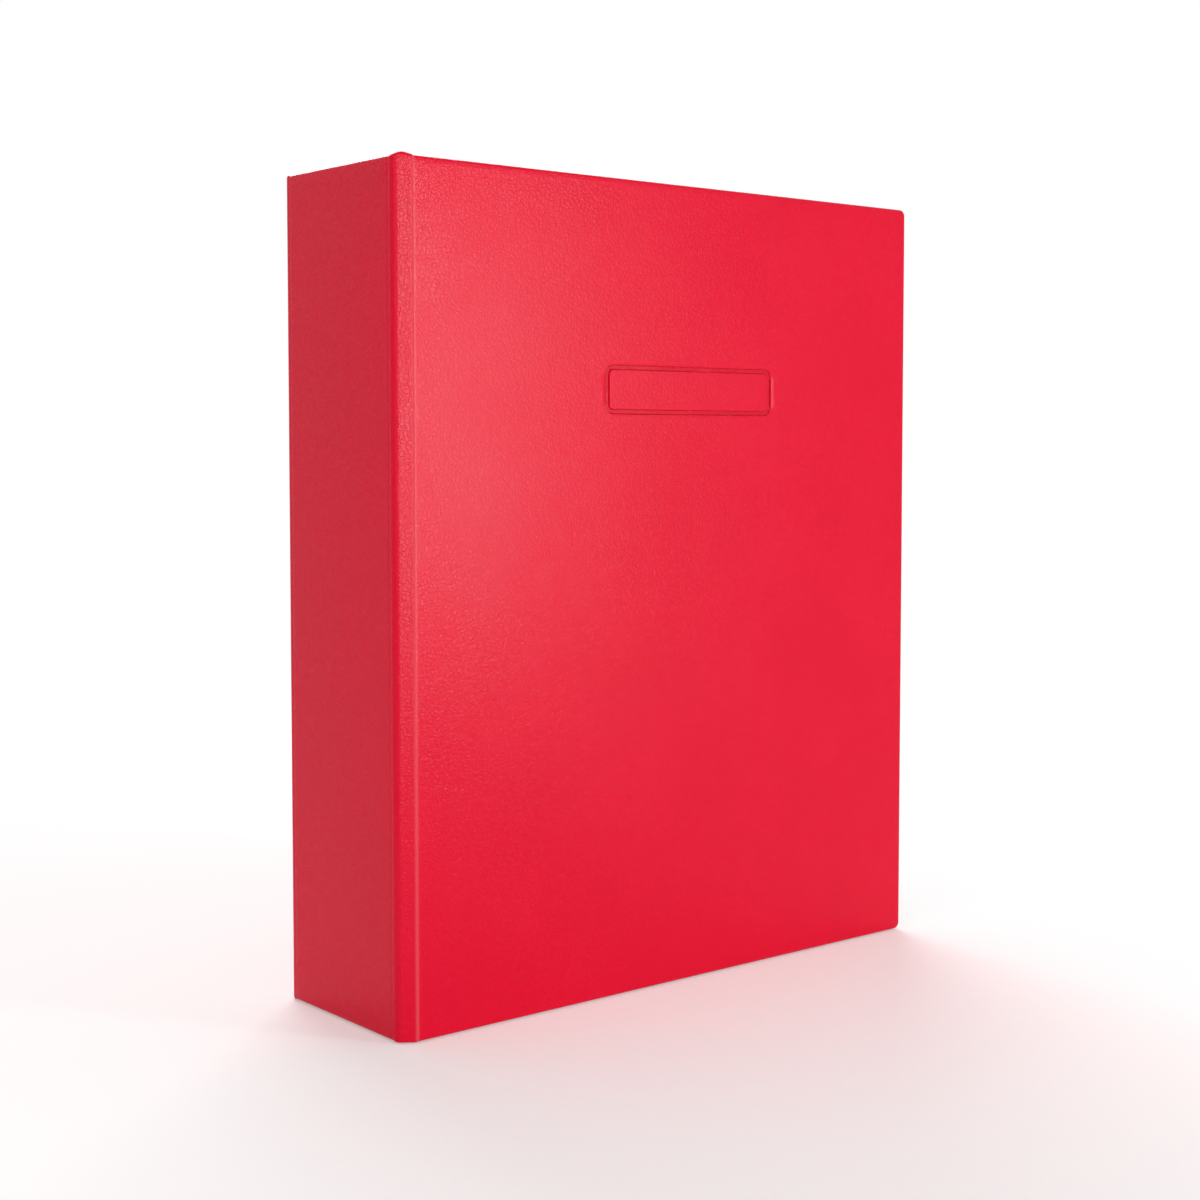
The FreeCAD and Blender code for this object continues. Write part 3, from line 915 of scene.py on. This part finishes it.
@dataclass(frozen=True)
class CoverSkin:
    """A cover's leatherette: the fold from the spine, the panel, the folded edges and the turn-ins."""

    case: Case
    side: Side
    title: TitleFrame | None
    turn_in: float = 16.0
    corner: float = 2.0
    corner_steps: int = 6
    past_corner: float = 1.0
    edge_round: float = 0.8
    edge_steps: int = 5
    lap: float = 2.0
    lap_steps: int = 10
    mitre_step: float = 0.2
    fold_layers: int = 2
    fold_steps: int = 20
    fold_ramp: Plan = (0.25, 0.35)
    crease_at: float = -0.5
    crease_half: float = 0.9
    crease_depth: float = 0.06
    head_rise: float = 0.75
    head_rise_reach: float = 6.0
    head_peak_at: float = 0.55
    head_peak_run: float = 3.6
    # Half the width of the painted highlight along the tight round onto the panel.
    bead_half: float = 0.85
    first_lines: tuple[float, ...] = (0.15, 0.35, 0.7, 1.5, 3.0)
    panel_steps: int = 46
    height_steps: int = 56
    groove_clear: float = 0.8

    @classmethod
    def of(cls, case: Case, side: Side) -> "CoverSkin":
        """The skin of one cover: only the front has a title's frame, and its fold stands up at the head.

        Args:
            case: The case.
            side: Which cover.

        Returns:
            The skin.
        """
        if side is Side.FRONT:
            return cls(case, side, TitleFrame())
        return cls(case, side, None, head_rise=0.0)

    @property
    def length(self) -> float:
        """The skin's length from the end of the flat spine to the fore edge, laid flat."""
        return self.case.fold_length + self.case.fore_x - self.case.hinge_x

    def inner_depth(self, s: float) -> float:
        """How far in the turn-ins lie: a board's depth on the panel and two layers in the fold.

        Args:
            s: Distance along the skin from the end of the flat spine.

        Returns:
            The depth in millimetres.
        """
        case = self.case
        inside, outside = self.fold_ramp
        thin = self.fold_layers * case.leather
        on_spine = smooth(s, inside, -outside)
        on_panel = smooth(s, case.fold_length - inside, case.fold_length + outside)
        return thin + (case.wrap_depth - thin) * max(on_spine, on_panel)

    def place(self, s: float, z: float, depth: float) -> Point:
        """Bends a place on the flat skin to its place on the case.

        Args:
            s: Distance along the skin from the end of the flat spine.
            z: Height.
            depth: Distance in from the outer face.

        Returns:
            The place in millimetres.
        """
        case, sign = self.case, self.side.value
        if s < 0:
            plan, inward = (case.spine_x, sign * (case.spine_half + s)), (1.0, 0.0)
        elif s < case.fold_length:
            across, out, turn = FoldSection(case.hinge_radius).at(s / case.fold_length)
            plan = (case.spine_x + across, sign * (case.spine_half + out))
            inward = (math.cos(turn), -sign * math.sin(turn))
        else:
            plan, inward = (case.hinge_x + s - case.fold_length, sign * case.depth / 2), (0.0, -sign)
        deep = depth * self.inner_depth(s) / case.wrap_depth
        outer = 1.0 - smooth(depth, 0.0, case.wrap_depth)
        crease = self.crease_depth * (1.0 - smooth(abs(s - self.crease_at), 0.0, self.crease_half))
        near_head = smooth(z, case.height - self.head_rise_reach, case.height)
        deep += outer * (unevenness((*plan, z)) + crease)
        rise = self.head_rise * self.head_peak(s) * near_head
        return (plan[0] + inward[0] * deep, plan[1] + inward[1] * deep, z + rise)

    def head_peak(self, s: float) -> float:
        """How far the fold stands up at the head: 1 on its facet, and 0 on the spine and the panel."""
        top = self.case.fold_length * self.head_peak_at
        return 1.0 - smooth(abs(s - top), 0.0, self.head_peak_run)

    def stretch(self, s: float) -> float:
        """The share of painted highlight, a paler colour on the tight round where the fold meets the panel,
        up to 1.
        """
        return 1.0 - smooth(abs(s - self.case.fold_length), 0.0, self.bead_half)

    def stages(self) -> list[tuple[float, float, float]]:
        """The section of a folded edge, from the panel to the turn-in.

        Returns:
            Inset from the edge, depth and distance along the section, for each stage.
        """
        r, deep = self.edge_round, self.case.wrap_depth
        quarter = steps(0, QUARTER, self.edge_steps)
        section = [(r * (1 - math.sin(t)), r * (1 - math.cos(t))) for t in quarter]
        section += [(0.0, deep / 2)]
        section += [(r * (1 - math.cos(t)), deep - r + r * math.sin(t)) for t in quarter]
        insets = (self.corner + self.past_corner, self.turn_in / 2, self.turn_in)
        section += [(inset, deep) for inset in insets]
        section += [(self.turn_in, deep - self.case.leather)]
        return [(inset, depth, run) for (inset, depth), run in zip(section, runs(section))]

    def with_groove(self, lines: list[float], fine: list[float]) -> list[float]:
        """Adds the groove's fine mesh lines to even ones, without those that lie too near to them."""
        return sorted(fine + [v for v in lines if min(abs(v - f) for f in fine) > self.groove_clear])

    def along(self) -> list[float]:
        """Mesh lines along the skin, up to the corners at the fore edge.

        Returns:
            The lines in order.
        """
        case, title = self.case, self.title
        lines = steps(-self.lap, 0.0, self.lap_steps) + steps(0.0, case.fold_length, self.fold_steps)[1:]
        lines += [case.fold_length + v for v in self.first_lines]
        inner = steps(lines[-1], self.length - self.corner, self.panel_steps)[1:]
        if title:
            shift = case.fold_length - case.hinge_x
            inner = self.with_groove(inner, [v + shift for v in title.lines(title.left, title.right)])
        return lines + inner

    def up(self) -> list[float]:
        """Mesh lines up the skin, between the corners.

        Returns:
            The lines in order.
        """
        lines = steps(self.corner, self.case.height - self.corner, self.height_steps)
        if self.title:
            lines = self.with_groove(lines, self.title.lines(self.title.low, self.title.high))
        return lines

    @property
    def arc(self) -> list[float]:
        """The angles of a corner's inner points."""
        return steps(0, QUARTER, self.corner_steps)[1:-1]

    def outline(self, along: list[float], up: list[float]) -> list[tuple[Plan, Plan, Plan]]:
        """The edge from the spine along the tail, up the fore edge and back along the head.

        Args:
            along: Mesh lines along the skin.
            up: Mesh lines up the skin.

        Returns:
            For each point: the point itself, its direction inwards, and which way a corner's middle lies.
        """
        far, top, r = self.length, self.case.height, self.corner

        def corner(turn: float, end: float, sign: float) -> tuple[Plan, Plan, Plan]:
            """A point of the corner at one end, where sign is 1 for the tail and -1 for the head."""
            sin, cos = math.sin(turn), math.cos(turn)
            return ((far - r + r * sin, end + sign * (r - r * cos)), (-sin, sign * cos), (-1.0, sign))

        points = [((s, 0.0), (0.0, 1.0), (0.0, 0.0)) for s in along]
        points += [corner(turn, 0.0, 1.0) for turn in self.arc]
        points += [((far, z), (-1.0, 0.0), (0.0, 0.0)) for z in up]
        points += [corner(turn, top, -1.0) for turn in reversed(self.arc)]
        points += [((s, top), (0.0, -1.0), (0.0, 0.0)) for s in reversed(along)]
        return points

    def chain_point(self, outline_point: tuple[Plan, Plan, Plan], inset: float) -> Plan:
        """A point of the outline moved in, with its corners kept round while they can be.

        Args:
            outline_point: The point, its direction inwards and its corner.
            inset: How far in.

        Returns:
            The place on the flat skin.
        """
        (s, z), (ns, nz), (cs, cz) = outline_point
        far, top = self.length, self.case.height
        if cs and inset > self.corner:
            return (far - inset, inset if cz > 0 else top - inset)
        s, z = s + ns * inset, z + nz * inset
        return (min(s, far - inset), min(max(z, inset), top - inset))

    def build(self, finish: Material) -> None:
        """Makes the skin.

        Args:
            finish: The leatherette.
        """
        along, up = self.along(), self.up()
        outline = self.outline(along, up)
        shift = self.case.hinge_x - self.case.fold_length
        mesh = MeshBuild()
        chains = []
        for inset, depth, run in self.stages():
            chain = []
            for item in outline:
                s, z = self.chain_point(item, inset)
                (edge_s, edge_z), (ns, nz), _ = item
                under = inset > self.corner and abs(ns) > abs(nz)
                flat = (edge_s + ns * (self.edge_round - run), edge_z + nz * (self.edge_round - run))
                # The painted highlight's share, on the outer face only.
                stretched = self.stretch(s) * (1.0 - smooth(depth, 0.0, self.edge_round))
                point = self.place(s, z, depth - under * self.mitre_step)
                chain.append(mesh.add(point, flat, stretched=stretched))
            chains.append(chain)
        mesh.rows(chains)

        def panel_point(s: float, z: float) -> int:
            """Adds a vertex of the panel, pressed in where the title's frame is."""
            pressed = self.title.inset(s + shift, z) if self.title else 0.0
            share = pressed / self.title.depth if self.title else 0.0
            # Panel vertices carry the painted highlight's share too.
            return mesh.add(self.place(s, z, pressed), (s, z), share, self.stretch(s))

        grid = [[panel_point(s, z) for z in up] for s in along]
        mesh.rows(grid)
        rim = iter(chains[0])
        counts = (len(along), len(self.arc), len(up), len(self.arc), len(along))
        tail, low_arc, fore, high_arc, head = (list(islice(rim, count)) for count in counts)
        head.reverse()
        mesh.ribbon(tail, [column[0] for column in grid])
        mesh.ribbon([column[-1] for column in grid], head)
        mesh.ribbon(grid[-1], fore)
        mesh.faces.append((grid[-1][0], tail[-1], *low_arc, fore[0]))
        mesh.faces.append((grid[-1][-1], fore[-1], *high_arc, head[-1]))
        piece = mesh.finish(f"{self.side.word}_skin", finish)
        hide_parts(f"{self.side.word}_leatherette", f"{self.side.word}_hinge_fold")
        self.case.bend(piece, self.side)


@dataclass(frozen=True)
class SpineSkin:
    """The spine's leatherette: the flat panel and its turn-ins at head and tail."""

    case: Case
    turn_in: float = 16.0
    edge_round: float = 0.8
    edge_steps: int = 5
    lap: float = 2.0
    panel_steps: int = 60
    width_steps: int = 18

    def section(self) -> list[Plan]:
        """The section from the tail's turn-in over the panel to the head's.

        Returns:
            Depth and height of each point.
        """
        r, deep, top = self.edge_round, self.case.wrap_depth, self.case.height
        quarter = steps(0, QUARTER, self.edge_steps)
        tail = [(deep, self.turn_in), (deep, self.turn_in / 2)]
        tail += [(deep - r + r * math.cos(t), r - r * math.sin(t)) for t in quarter]
        tail += [(r - r * math.sin(t), r - r * math.cos(t)) for t in quarter]
        panel = [(0.0, z) for z in steps(r, top - r, self.panel_steps)[1:-1]]
        return tail + panel + [(depth, top - z) for depth, z in reversed(tail)]

    def build(self, finish: Material) -> None:
        """Makes the skin, which rides on the spine.

        Args:
            finish: The leatherette.
        """
        case = self.case
        edge = case.spine_half - self.lap
        section = self.section()
        mesh, rows = MeshBuild(), []
        for y in steps(-edge, edge, self.width_steps):
            row = []
            for (depth, z), run in zip(section, runs(section)):
                ripple = unevenness((case.spine_x, y, z)) * (1.0 - smooth(depth, 0.0, case.wrap_depth))
                row.append(mesh.add((case.spine_x + depth + ripple, y, z), (y + case.depth, run)))
            rows.append(row)
        mesh.rows(rows)
        piece = mesh.finish("spine_skin", finish)
        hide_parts("spine_leatherette")
        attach(piece, "spine")


@dataclass(frozen=True)
class BoundSheet:
    """A leaf's card or a flyleaf: one sheet from its bound edge, over the crease, to the fore edge."""

    name: str
    body: str
    root_x: float
    span: Span
    crease_gap: float
    past_crease: float = 1.0
    corner: float = 4.0
    corner_steps: int = 6
    crease_steps: int = 6
    panel_steps: int = 8
    height_steps: int = 6
    smooth_angle: float = 30.0

    @property
    def crease_x(self) -> float:
        """Where the sheet starts to bend."""
        return self.span.low[0] - self.crease_gap

    def columns(self) -> list[tuple[float, float]]:
        """Mesh lines across the sheet.

        Returns:
            Each line's place and how far its ends are cut back by the rounded corners.
        """
        fore, r = self.span.high[0], self.corner
        places = [self.root_x, (self.root_x + self.crease_x) / 2]
        places += steps(self.crease_x, self.span.low[0], self.crease_steps)
        places += steps(self.span.low[0] + self.past_crease, fore - r, self.panel_steps)
        arc = steps(0, QUARTER, self.corner_steps)[1:]
        return [(x, 0.0) for x in places] + [(fore - r + r * math.sin(t), r - r * math.cos(t)) for t in arc]

    def build(self, finish: Material) -> Piece:
        """Makes the sheet.

        Args:
            finish: Its paper.

        Returns:
            The piece.
        """
        mesh, rows = MeshBuild(), []
        (_, y0, z0), (_, y1, z1) = self.span.low, self.span.high
        for x, cut in self.columns():
            up = steps(z0 + cut, z1 - cut, self.height_steps)
            front, back = ([mesh.add((x, y, z), (x, z)) for z in up] for y in (y0, y1))
            rows.append(front + back[::-1] + front[:1])
        mesh.rows(rows)
        for end in (rows[0], rows[-1]):
            mesh.faces.append(tuple(end[:-1]))
        piece = mesh.finish(self.name, finish, smooth_angle=self.smooth_angle)
        blend(piece)
        return piece


@dataclass(frozen=True)
class PageFilms:
    """The clear films on both faces of a leaf, welded into two pockets a page."""

    leaf: str
    card: Span
    mouth_setback: float = 9.0
    crease_gap: float = 0.6
    fore_margin: float = 1.5
    end_margin: float = 3.0
    weld: float = 3.0
    thumb_width: float = 26.0
    thumb_depth: float = 7.0
    thumb_round: float = 3.0
    thumb_steps: int = 24
    swell: float = 0.26
    seam: float = 0.05
    shoulder: float = 1.6
    squeeze: float = 0.12
    lines_across: tuple[float, ...] = (0.0, 0.6, 8.0, 9.5, 20.0, 45.0, 75.0, 105.0, 130.0)
    shares_up: Plan = (0.2, 0.8)

    @property
    def ends(self) -> Plan:
        """The film's lower and upper edge."""
        return (self.card.low[2] + self.end_margin, self.card.high[2] - self.end_margin)

    @property
    def pocket_height(self) -> float:
        """The height of a pocket: two of them lie between three welds."""
        return (self.ends[1] - self.ends[0] - 3 * self.weld) / 2

    @property
    def pocket_lows(self) -> list[float]:
        """The pockets' lower edges."""
        low = self.ends[0] + self.weld
        return [low, low + self.pocket_height + self.weld]

    def mouth(self, z: float) -> float:
        """How far the film is cut back at a height, by the thumb cut of the nearer pocket.

        Args:
            z: The height.

        Returns:
            The cut's depth there.
        """
        slope = self.thumb_width / 2 - min(abs(z - low - self.pocket_height / 2) for low in self.pocket_lows)
        return min(self.thumb_depth, max(0.0, slope) * smooth(slope, -self.thumb_round, self.thumb_round))

    def lift(self, z: float) -> float:
        """How far the film stands off the card at a height: 1 in a pocket, 0 on a weld."""
        edge = max(min(z - low, low + self.pocket_height - z) for low in self.pocket_lows)
        return smooth(edge, 0.0, self.shoulder)

    def heights(self) -> list[float]:
        """Mesh lines up the page: at the welds, the pockets' shoulders and the thumb cuts.

        Returns:
            The lines in order.
        """
        lines, tall = set(self.ends), self.pocket_height
        reach = self.thumb_width / 2 + self.thumb_round
        for low in self.pocket_lows:
            for part in (0.0, self.shoulder / 2, self.shoulder):
                lines.update((low + part, low + tall - part))
            lines.update(low + tall / 2 + v for v in steps(-reach, reach, self.thumb_steps))
            lines.update(low + tall * share for share in self.shares_up)
        return sorted(lines)

    def build(self, finish: Material, weld_finish: Material) -> None:
        """Makes the films, which ride on their leaf.

        Args:
            finish: The clear film.
            weld_finish: The film where it is welded or cut.
        """
        low, high = self.card.low, self.card.high
        left = low[0] - self.crease_gap + self.mouth_setback
        pocket_end = high[0] - self.fore_margin - self.weld - left
        across = [*self.lines_across, pocket_end - self.shoulder, pocket_end - self.shoulder / 2]
        across += [pocket_end, pocket_end + self.weld]
        mesh = MeshBuild()
        for face, sign in ((low[1], -1), (high[1], 1)):
            rows = []
            for z in self.heights():
                lift, cut, row = self.lift(z), self.mouth(z), []
                for x in across:
                    moved = max(x, cut + x * self.squeeze)
                    end = smooth(pocket_end - x, 0.0, self.shoulder)
                    off = self.seam + (self.swell - self.seam) * lift * end
                    row.append(mesh.add((left + moved, face + sign * off, z), (moved, z)))
                rows.append(row)
            mesh.rows(rows)
        for number, face in enumerate(mesh.faces):
            along, up = (sum(mesh.flat[v][axis] for v in face) / len(face) for axis in (0, 1))
            cut_edge = number % (len(across) - 1) == 0
            if cut_edge or along > pocket_end or self.lift(up) == 0.0:
                mesh.marked.append(number)
        piece = mesh.finish(f"{self.leaf}_films", finish, weld_finish)
        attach(piece, self.leaf)


@dataclass(frozen=True)
class JointLining:
    """The cloth that joins a cover to the block: a glued flange, and a strip tucked into the fold."""

    case: Case
    side: Side
    cloth: float = 0.2
    arm_gap: float = 0.003
    tip_gap: float = 1.4
    tip_steps: int = 3
    height_steps: int = 8

    def build(self, finish: Material) -> None:
        """Makes the flange on the block, and the strip from there through the fold to the cover.

        Args:
            finish: The cloth.
        """
        case, side, word = self.case, self.side, self.side.word
        span = Span.of(f"{word}_joint_lining")
        inner, outer = sorted((span.low[1], span.high[1]), key=abs)
        block, cover = inner + side.value * self.cloth / 2, outer - side.value * self.cloth / 2
        arm = self.cloth / 2 + self.arm_gap
        turns = steps(0, math.pi, self.tip_steps)
        tip = [case.by_pivot(side, self.tip_gap - arm * math.sin(t), -arm * math.cos(t)) for t in turns]
        bound = (self.meeting(block, -arm), block)
        hinged = (self.meeting(cover, arm), cover)
        flange = self.strip(f"{word}_joint_flange", [(span.high[0], block), bound], finish)
        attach(flange, "spine")
        path = [bound, *tip, hinged, (Span.of(f"{word}_pastedown").low[0], cover)]
        strip = self.strip(f"{word}_joint_strip", path, finish)
        case.bend(strip, side)
        flat = (runs(path)[-1] * MM, span.size(2) * MM)

    def meeting(self, y: float, across: float) -> float:
        """Where along x the strip, to one side of the hinge axis, leaves a flat place for the fold."""
        x, start_y = self.case.by_pivot(self.side, 0.0, across)
        return x + self.side.value * (start_y - y)

    def strip(self, name: str, path: list[Plan], finish: Material) -> Piece:
        """Makes a strip of cloth along a path in plan.

        Args:
            name: The piece's name.
            path: The path, along the cloth's middle.
            finish: The cloth.

        Returns:
            The piece.
        """
        span = Span.of(f"{self.side.word}_joint_lining")
        heights = steps(span.low[2], span.high[2], self.height_steps)
        mesh = MeshBuild()
        marks = zip(path, runs(path))
        mesh.rows([[mesh.add((*place, z), (run, z)) for z in heights] for place, run in marks])
        piece = mesh.finish(name, finish)
        solid = piece.modifiers.new("cloth", "SOLIDIFY")
        solid.thickness = self.cloth * MM
        solid.offset = 0.0
        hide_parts(f"{self.side.word}_joint_lining")
        return piece


@dataclass(frozen=True)
class Headband:
    """A headband: a bead wound with thread, on a tape glued down the spine."""

    node: str
    head: bool
    pitch: float = 1.2
    per_thread: int = 6
    lean: float = 0.35
    ridge: float = 0.09
    sides: int = 14
    tape: float = 0.3
    tape_foot: float = 0.05
    tape_steps: int = 24
    smooth_angle: float = 60.0

    def build(self, finish: Material) -> None:
        """Makes the band, which rides on the spine.

        Args:
            finish: The thread.
        """
        span = Span.of(self.node)
        radius = span.size(0) / 2 - self.ridge
        up = 1.0 if self.head else -1.0
        end_z = span.high[2] if self.head else span.low[2]
        middle = (span.low[0] + span.size(0) / 2, end_z - up * span.size(0) / 2)
        count = round(span.size(1) / self.pitch) * self.per_thread
        mesh, rings = MeshBuild(), []
        for number, y in enumerate(steps(span.low[1], span.high[1], count)):
            ring = []
            for i in range(self.sides + 1):
                angle = 2 * math.pi * i / self.sides
                wound = math.pi * number / self.per_thread + self.lean * angle
                r = radius + self.ridge * abs(math.sin(wound))
                place = (middle[0] + r * math.cos(angle), y, middle[1] + r * math.sin(angle))
                ring.append(mesh.add(place, (y - span.low[1], r * angle)))
            rings.append(ring)
        mesh.rows(rings)
        for ring in (rings[0], rings[-1]):
            mesh.faces.append(tuple(ring[:-1]))
        foot = span.low[2] if self.head else span.high[2]
        back = span.low[0]
        strip = [(back + self.tape, middle[1]), (back + self.tape, foot), (back + self.tape_foot, foot)]
        places = steps(span.low[1], span.high[1], self.tape_steps)
        mesh.rows([[mesh.add((x, y, z), (y - span.low[1], z)) for x, z in strip] for y in places])
        piece = mesh.finish(f"{self.node}_thread", finish, smooth_angle=self.smooth_angle)
        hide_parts(self.node)
        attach(piece, "spine")


@dataclass(frozen=True)
class Block:
    """The leaves and flyleaves."""

    crease_gap: float = 0.6
    film_depth: float = 0.3

    def build(self, finishes: Finishes) -> None:
        """Makes every sheet of the block.

        Args:
            finishes: The album's finishes.
        """
        guards = Span.of("guard_strips")
        for number in range(1, LEAF_COUNT + 1):
            leaf = f"leaf_{number:02d}"
            whole = Span.of(leaf)
            low = (whole.low[0], whole.low[1] + self.film_depth, whole.low[2])
            high = (whole.high[0], whole.high[1] - self.film_depth, whole.high[2])
            card = Span(low, high)
            sheet = BoundSheet(f"{leaf}_card", leaf, guards.low[0], card, self.crease_gap)
            piece = sheet.build(finishes.leaf_card)
            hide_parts(leaf, *(["leaf_roots"] if number == 1 else []))
            PageFilms(leaf, card).build(finishes.pocket_film, finishes.film_weld)
        for side in Side:
            body = f"{side.word}_flyleaf"
            joint = Span.of(f"{side.word}_joint_lining")
            sheet = BoundSheet(f"{body}_sheet", body, joint.high[0], Span.of(body), self.crease_gap)
            piece = sheet.build(finishes.endpaper)
            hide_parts(body)


@dataclass(frozen=True)
class CarriedNodes:
    """The flat pieces whose solids are right as they are, and their finishes."""

    slots: tuple[str, ...] = ("greyboard", "lining_card", "endpaper", "gauze", "binder_glue", "guard_board")

    def dress(self, finishes: Finishes) -> None:
        """Gives each solid the material of its slot.

        Args:
            finishes: The album's finishes.
        """
        for part in frame["record"]["subparts"]:
            node, slot = part["node"], part["material_slot"]
            if slot in self.slots:
                solid = frame["nodes"][node]
                solid.data.materials.clear()
                solid.data.materials.append(getattr(finishes, slot))
                log.info("%s: %s", node, slot)


@dataclass(frozen=True)
class SoftBox:
    """A soft box that faces the album, by its place round it in degrees and its size in metres."""

    name: str
    turn: float
    rise: float
    distance: float
    width: float
    height: float
    power: float

    def build(self, middle: Vector) -> None:
        """Makes the lamp.

        Args:
            middle: The place that it faces, in metres.
        """
        out = way_out(self.turn, self.rise)
        data = bpy.data.lights.new(self.name, "AREA")
        data.shape = "RECTANGLE"
        data.size = self.width
        data.size_y = self.height
        data.energy = self.power
        lamp = bpy.data.objects.new(self.name, data)
        lamp.location = middle + out * self.distance
        lamp.rotation_euler = out.to_track_quat("Z", "Y").to_euler()
        lamp.visible_camera = False
        bpy.context.scene.collection.objects.link(lamp)
        log.info("%s: %.1f W", self.name, self.power)


@dataclass(frozen=True)
class Studio:
    """A pale floor, soft light and the camera."""

    case: Case
    azimuth: float = -39.494
    elevation: float = 3.101
    camera_from_corner: Point = (-1.1916, -1.7952, 0.6820)
    lens: float = 57.783
    shift_up: float = -0.045
    sensor: float = 36.0
    clip: float = 0.01
    sky: float = 0.20
    floor_glow: float = 0.27
    floor_near: float = 0.22
    floor_far: float = 0.75
    floor_tones: tuple[Colour, Colour] = (colour(0.88, 0.88, 0.88), colour(0.92, 0.92, 0.92))
    floor_tone_size: float = 400.0
    floor_tone_detail: float = 2.0
    floor_rough: float = 0.9
    floor_half: float = 6.0
    floor_drop: float = 0.0004

    def lamps(self) -> tuple[SoftBox, ...]:
        """The soft boxes: a key, one each for the fold and the front cover, one behind and one above.

        Returns:
            The lamps.
        """
        return (
            SoftBox("key", turn=-62.0, rise=14.0, distance=1.6, width=1.0, height=0.8, power=2.6),
            SoftBox("strip", turn=-38.5, rise=4.5, distance=1.0, width=0.14, height=0.42, power=3.2),
            SoftBox("sheen", turn=28.0, rise=4.0, distance=1.0, width=0.16, height=0.42, power=3.6),
            SoftBox("back", turn=152.0, rise=35.0, distance=1.7, width=1.2, height=1.0, power=16.0),
            SoftBox("top", turn=170.0, rise=84.0, distance=1.5, width=1.2, height=1.2, power=6.0),
        )

    def build(self) -> None:
        """Makes the floor, the light and the camera."""
        self.build_floor()
        self.build_sky()
        middle = Vector((0, 0, self.case.height * MM / 2))
        for lamp in self.lamps():
            lamp.build(middle)
        self.build_camera()

    def build_floor(self) -> None:
        """A plain pale floor that keeps the album's shadow and runs out into the backdrop."""
        g = Graph("floor")
        place = g.solid_map()
        tone = g.noise(place, self.floor_tone_size, self.floor_tone_detail)
        away = g.node("VectorMath", {0: place}, operation="LENGTH").outputs["Value"]
        seen = g.seen()
        g.surface(
            Base_Color=g.mix(tone, *self.floor_tones),
            Roughness=self.floor_rough,
            Specular_IOR_Level=0.0,
            Emission_Color=WHITE,
            Emission_Strength=g.math("MULTIPLY", seen, self.floor_glow),
        )
        backdrop = g.node("Emission", {"Color": WHITE}).outputs[0]
        runs_out = g.math("MULTIPLY", seen, g.spread(away, self.floor_near, self.floor_far, 0.0, 1.0))
        both = g.node("MixShader", {0: runs_out, 1: g.shader.outputs[0], 2: backdrop}).outputs[0]
        g.set(g.tree.nodes["Material Output"].inputs["Surface"], both)
        half = self.floor_half
        mesh = bpy.data.meshes.new("floor")
        corners = [(-half, -half, 0), (half, -half, 0), (half, half, 0), (-half, half, 0)]
        mesh.from_pydata(corners, [], [(0, 1, 2, 3)])
        mesh.materials.append(g.material)
        floor = bpy.data.objects.new("floor", mesh)
        floor.location.z = -self.floor_drop
        bpy.context.scene.collection.objects.link(floor)

    def build_sky(self) -> None:
        """Even light from all round, before a white backdrop."""
        world = bpy.data.worlds.new("studio")
        g = Graph.of_world(world)
        g.surface(Color=WHITE, Strength=self.sky)
        backdrop = g.node("Background", {"Color": WHITE}).outputs[0]
        both = g.node("MixShader", {0: g.seen(), 1: g.shader.outputs[0], 2: backdrop}).outputs[0]
        g.set(g.tree.nodes["World Output"].inputs["Surface"], both)
        bpy.context.scene.world = world
        bpy.context.scene.view_settings.view_transform = "Standard"

    def build_camera(self) -> None:
        """The camera of the photograph, found from the case's corners."""
        turn = math.radians(self.azimuth)
        back = way_out(self.azimuth, self.elevation)
        right = Vector((math.cos(turn), math.sin(turn), 0))
        up = back.cross(right)
        corner = Vector((self.case.spine_x, -self.case.depth / 2, 0)) * MM
        data = bpy.data.cameras.new("camera")
        data.lens = self.lens
        data.shift_y = self.shift_up
        data.sensor_width = self.sensor
        data.clip_start = self.clip
        camera = bpy.data.objects.new("camera", data)
        place = corner + Vector(self.camera_from_corner) * self.case.height * MM
        turned = Matrix((right, up, back)).transposed().to_4x4()
        camera.matrix_world = Matrix.Translation(place) @ turned
        bpy.context.scene.collection.objects.link(camera)
        bpy.context.scene.camera = camera


def main() -> None:
    """Dresses the album and sets the studio."""
    logging.basicConfig(level=logging.INFO, format="%(name)s: %(message)s")
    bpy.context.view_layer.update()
    case = Case.read()
    finishes = Finishes.make()
    CarriedNodes().dress(finishes)
    SpineSkin(case).build(finishes.leatherette)
    for side in Side:
        CoverSkin.of(case, side).build(finishes.leatherette)
        JointLining(case, side).build(finishes.joint_cloth)
    Headband("head_band", head=True).build(finishes.headband)
    Headband("tail_band", head=False).build(finishes.headband)
    Block().build(finishes)
    Studio(case).build()


if __name__ == "__main__":
    main()
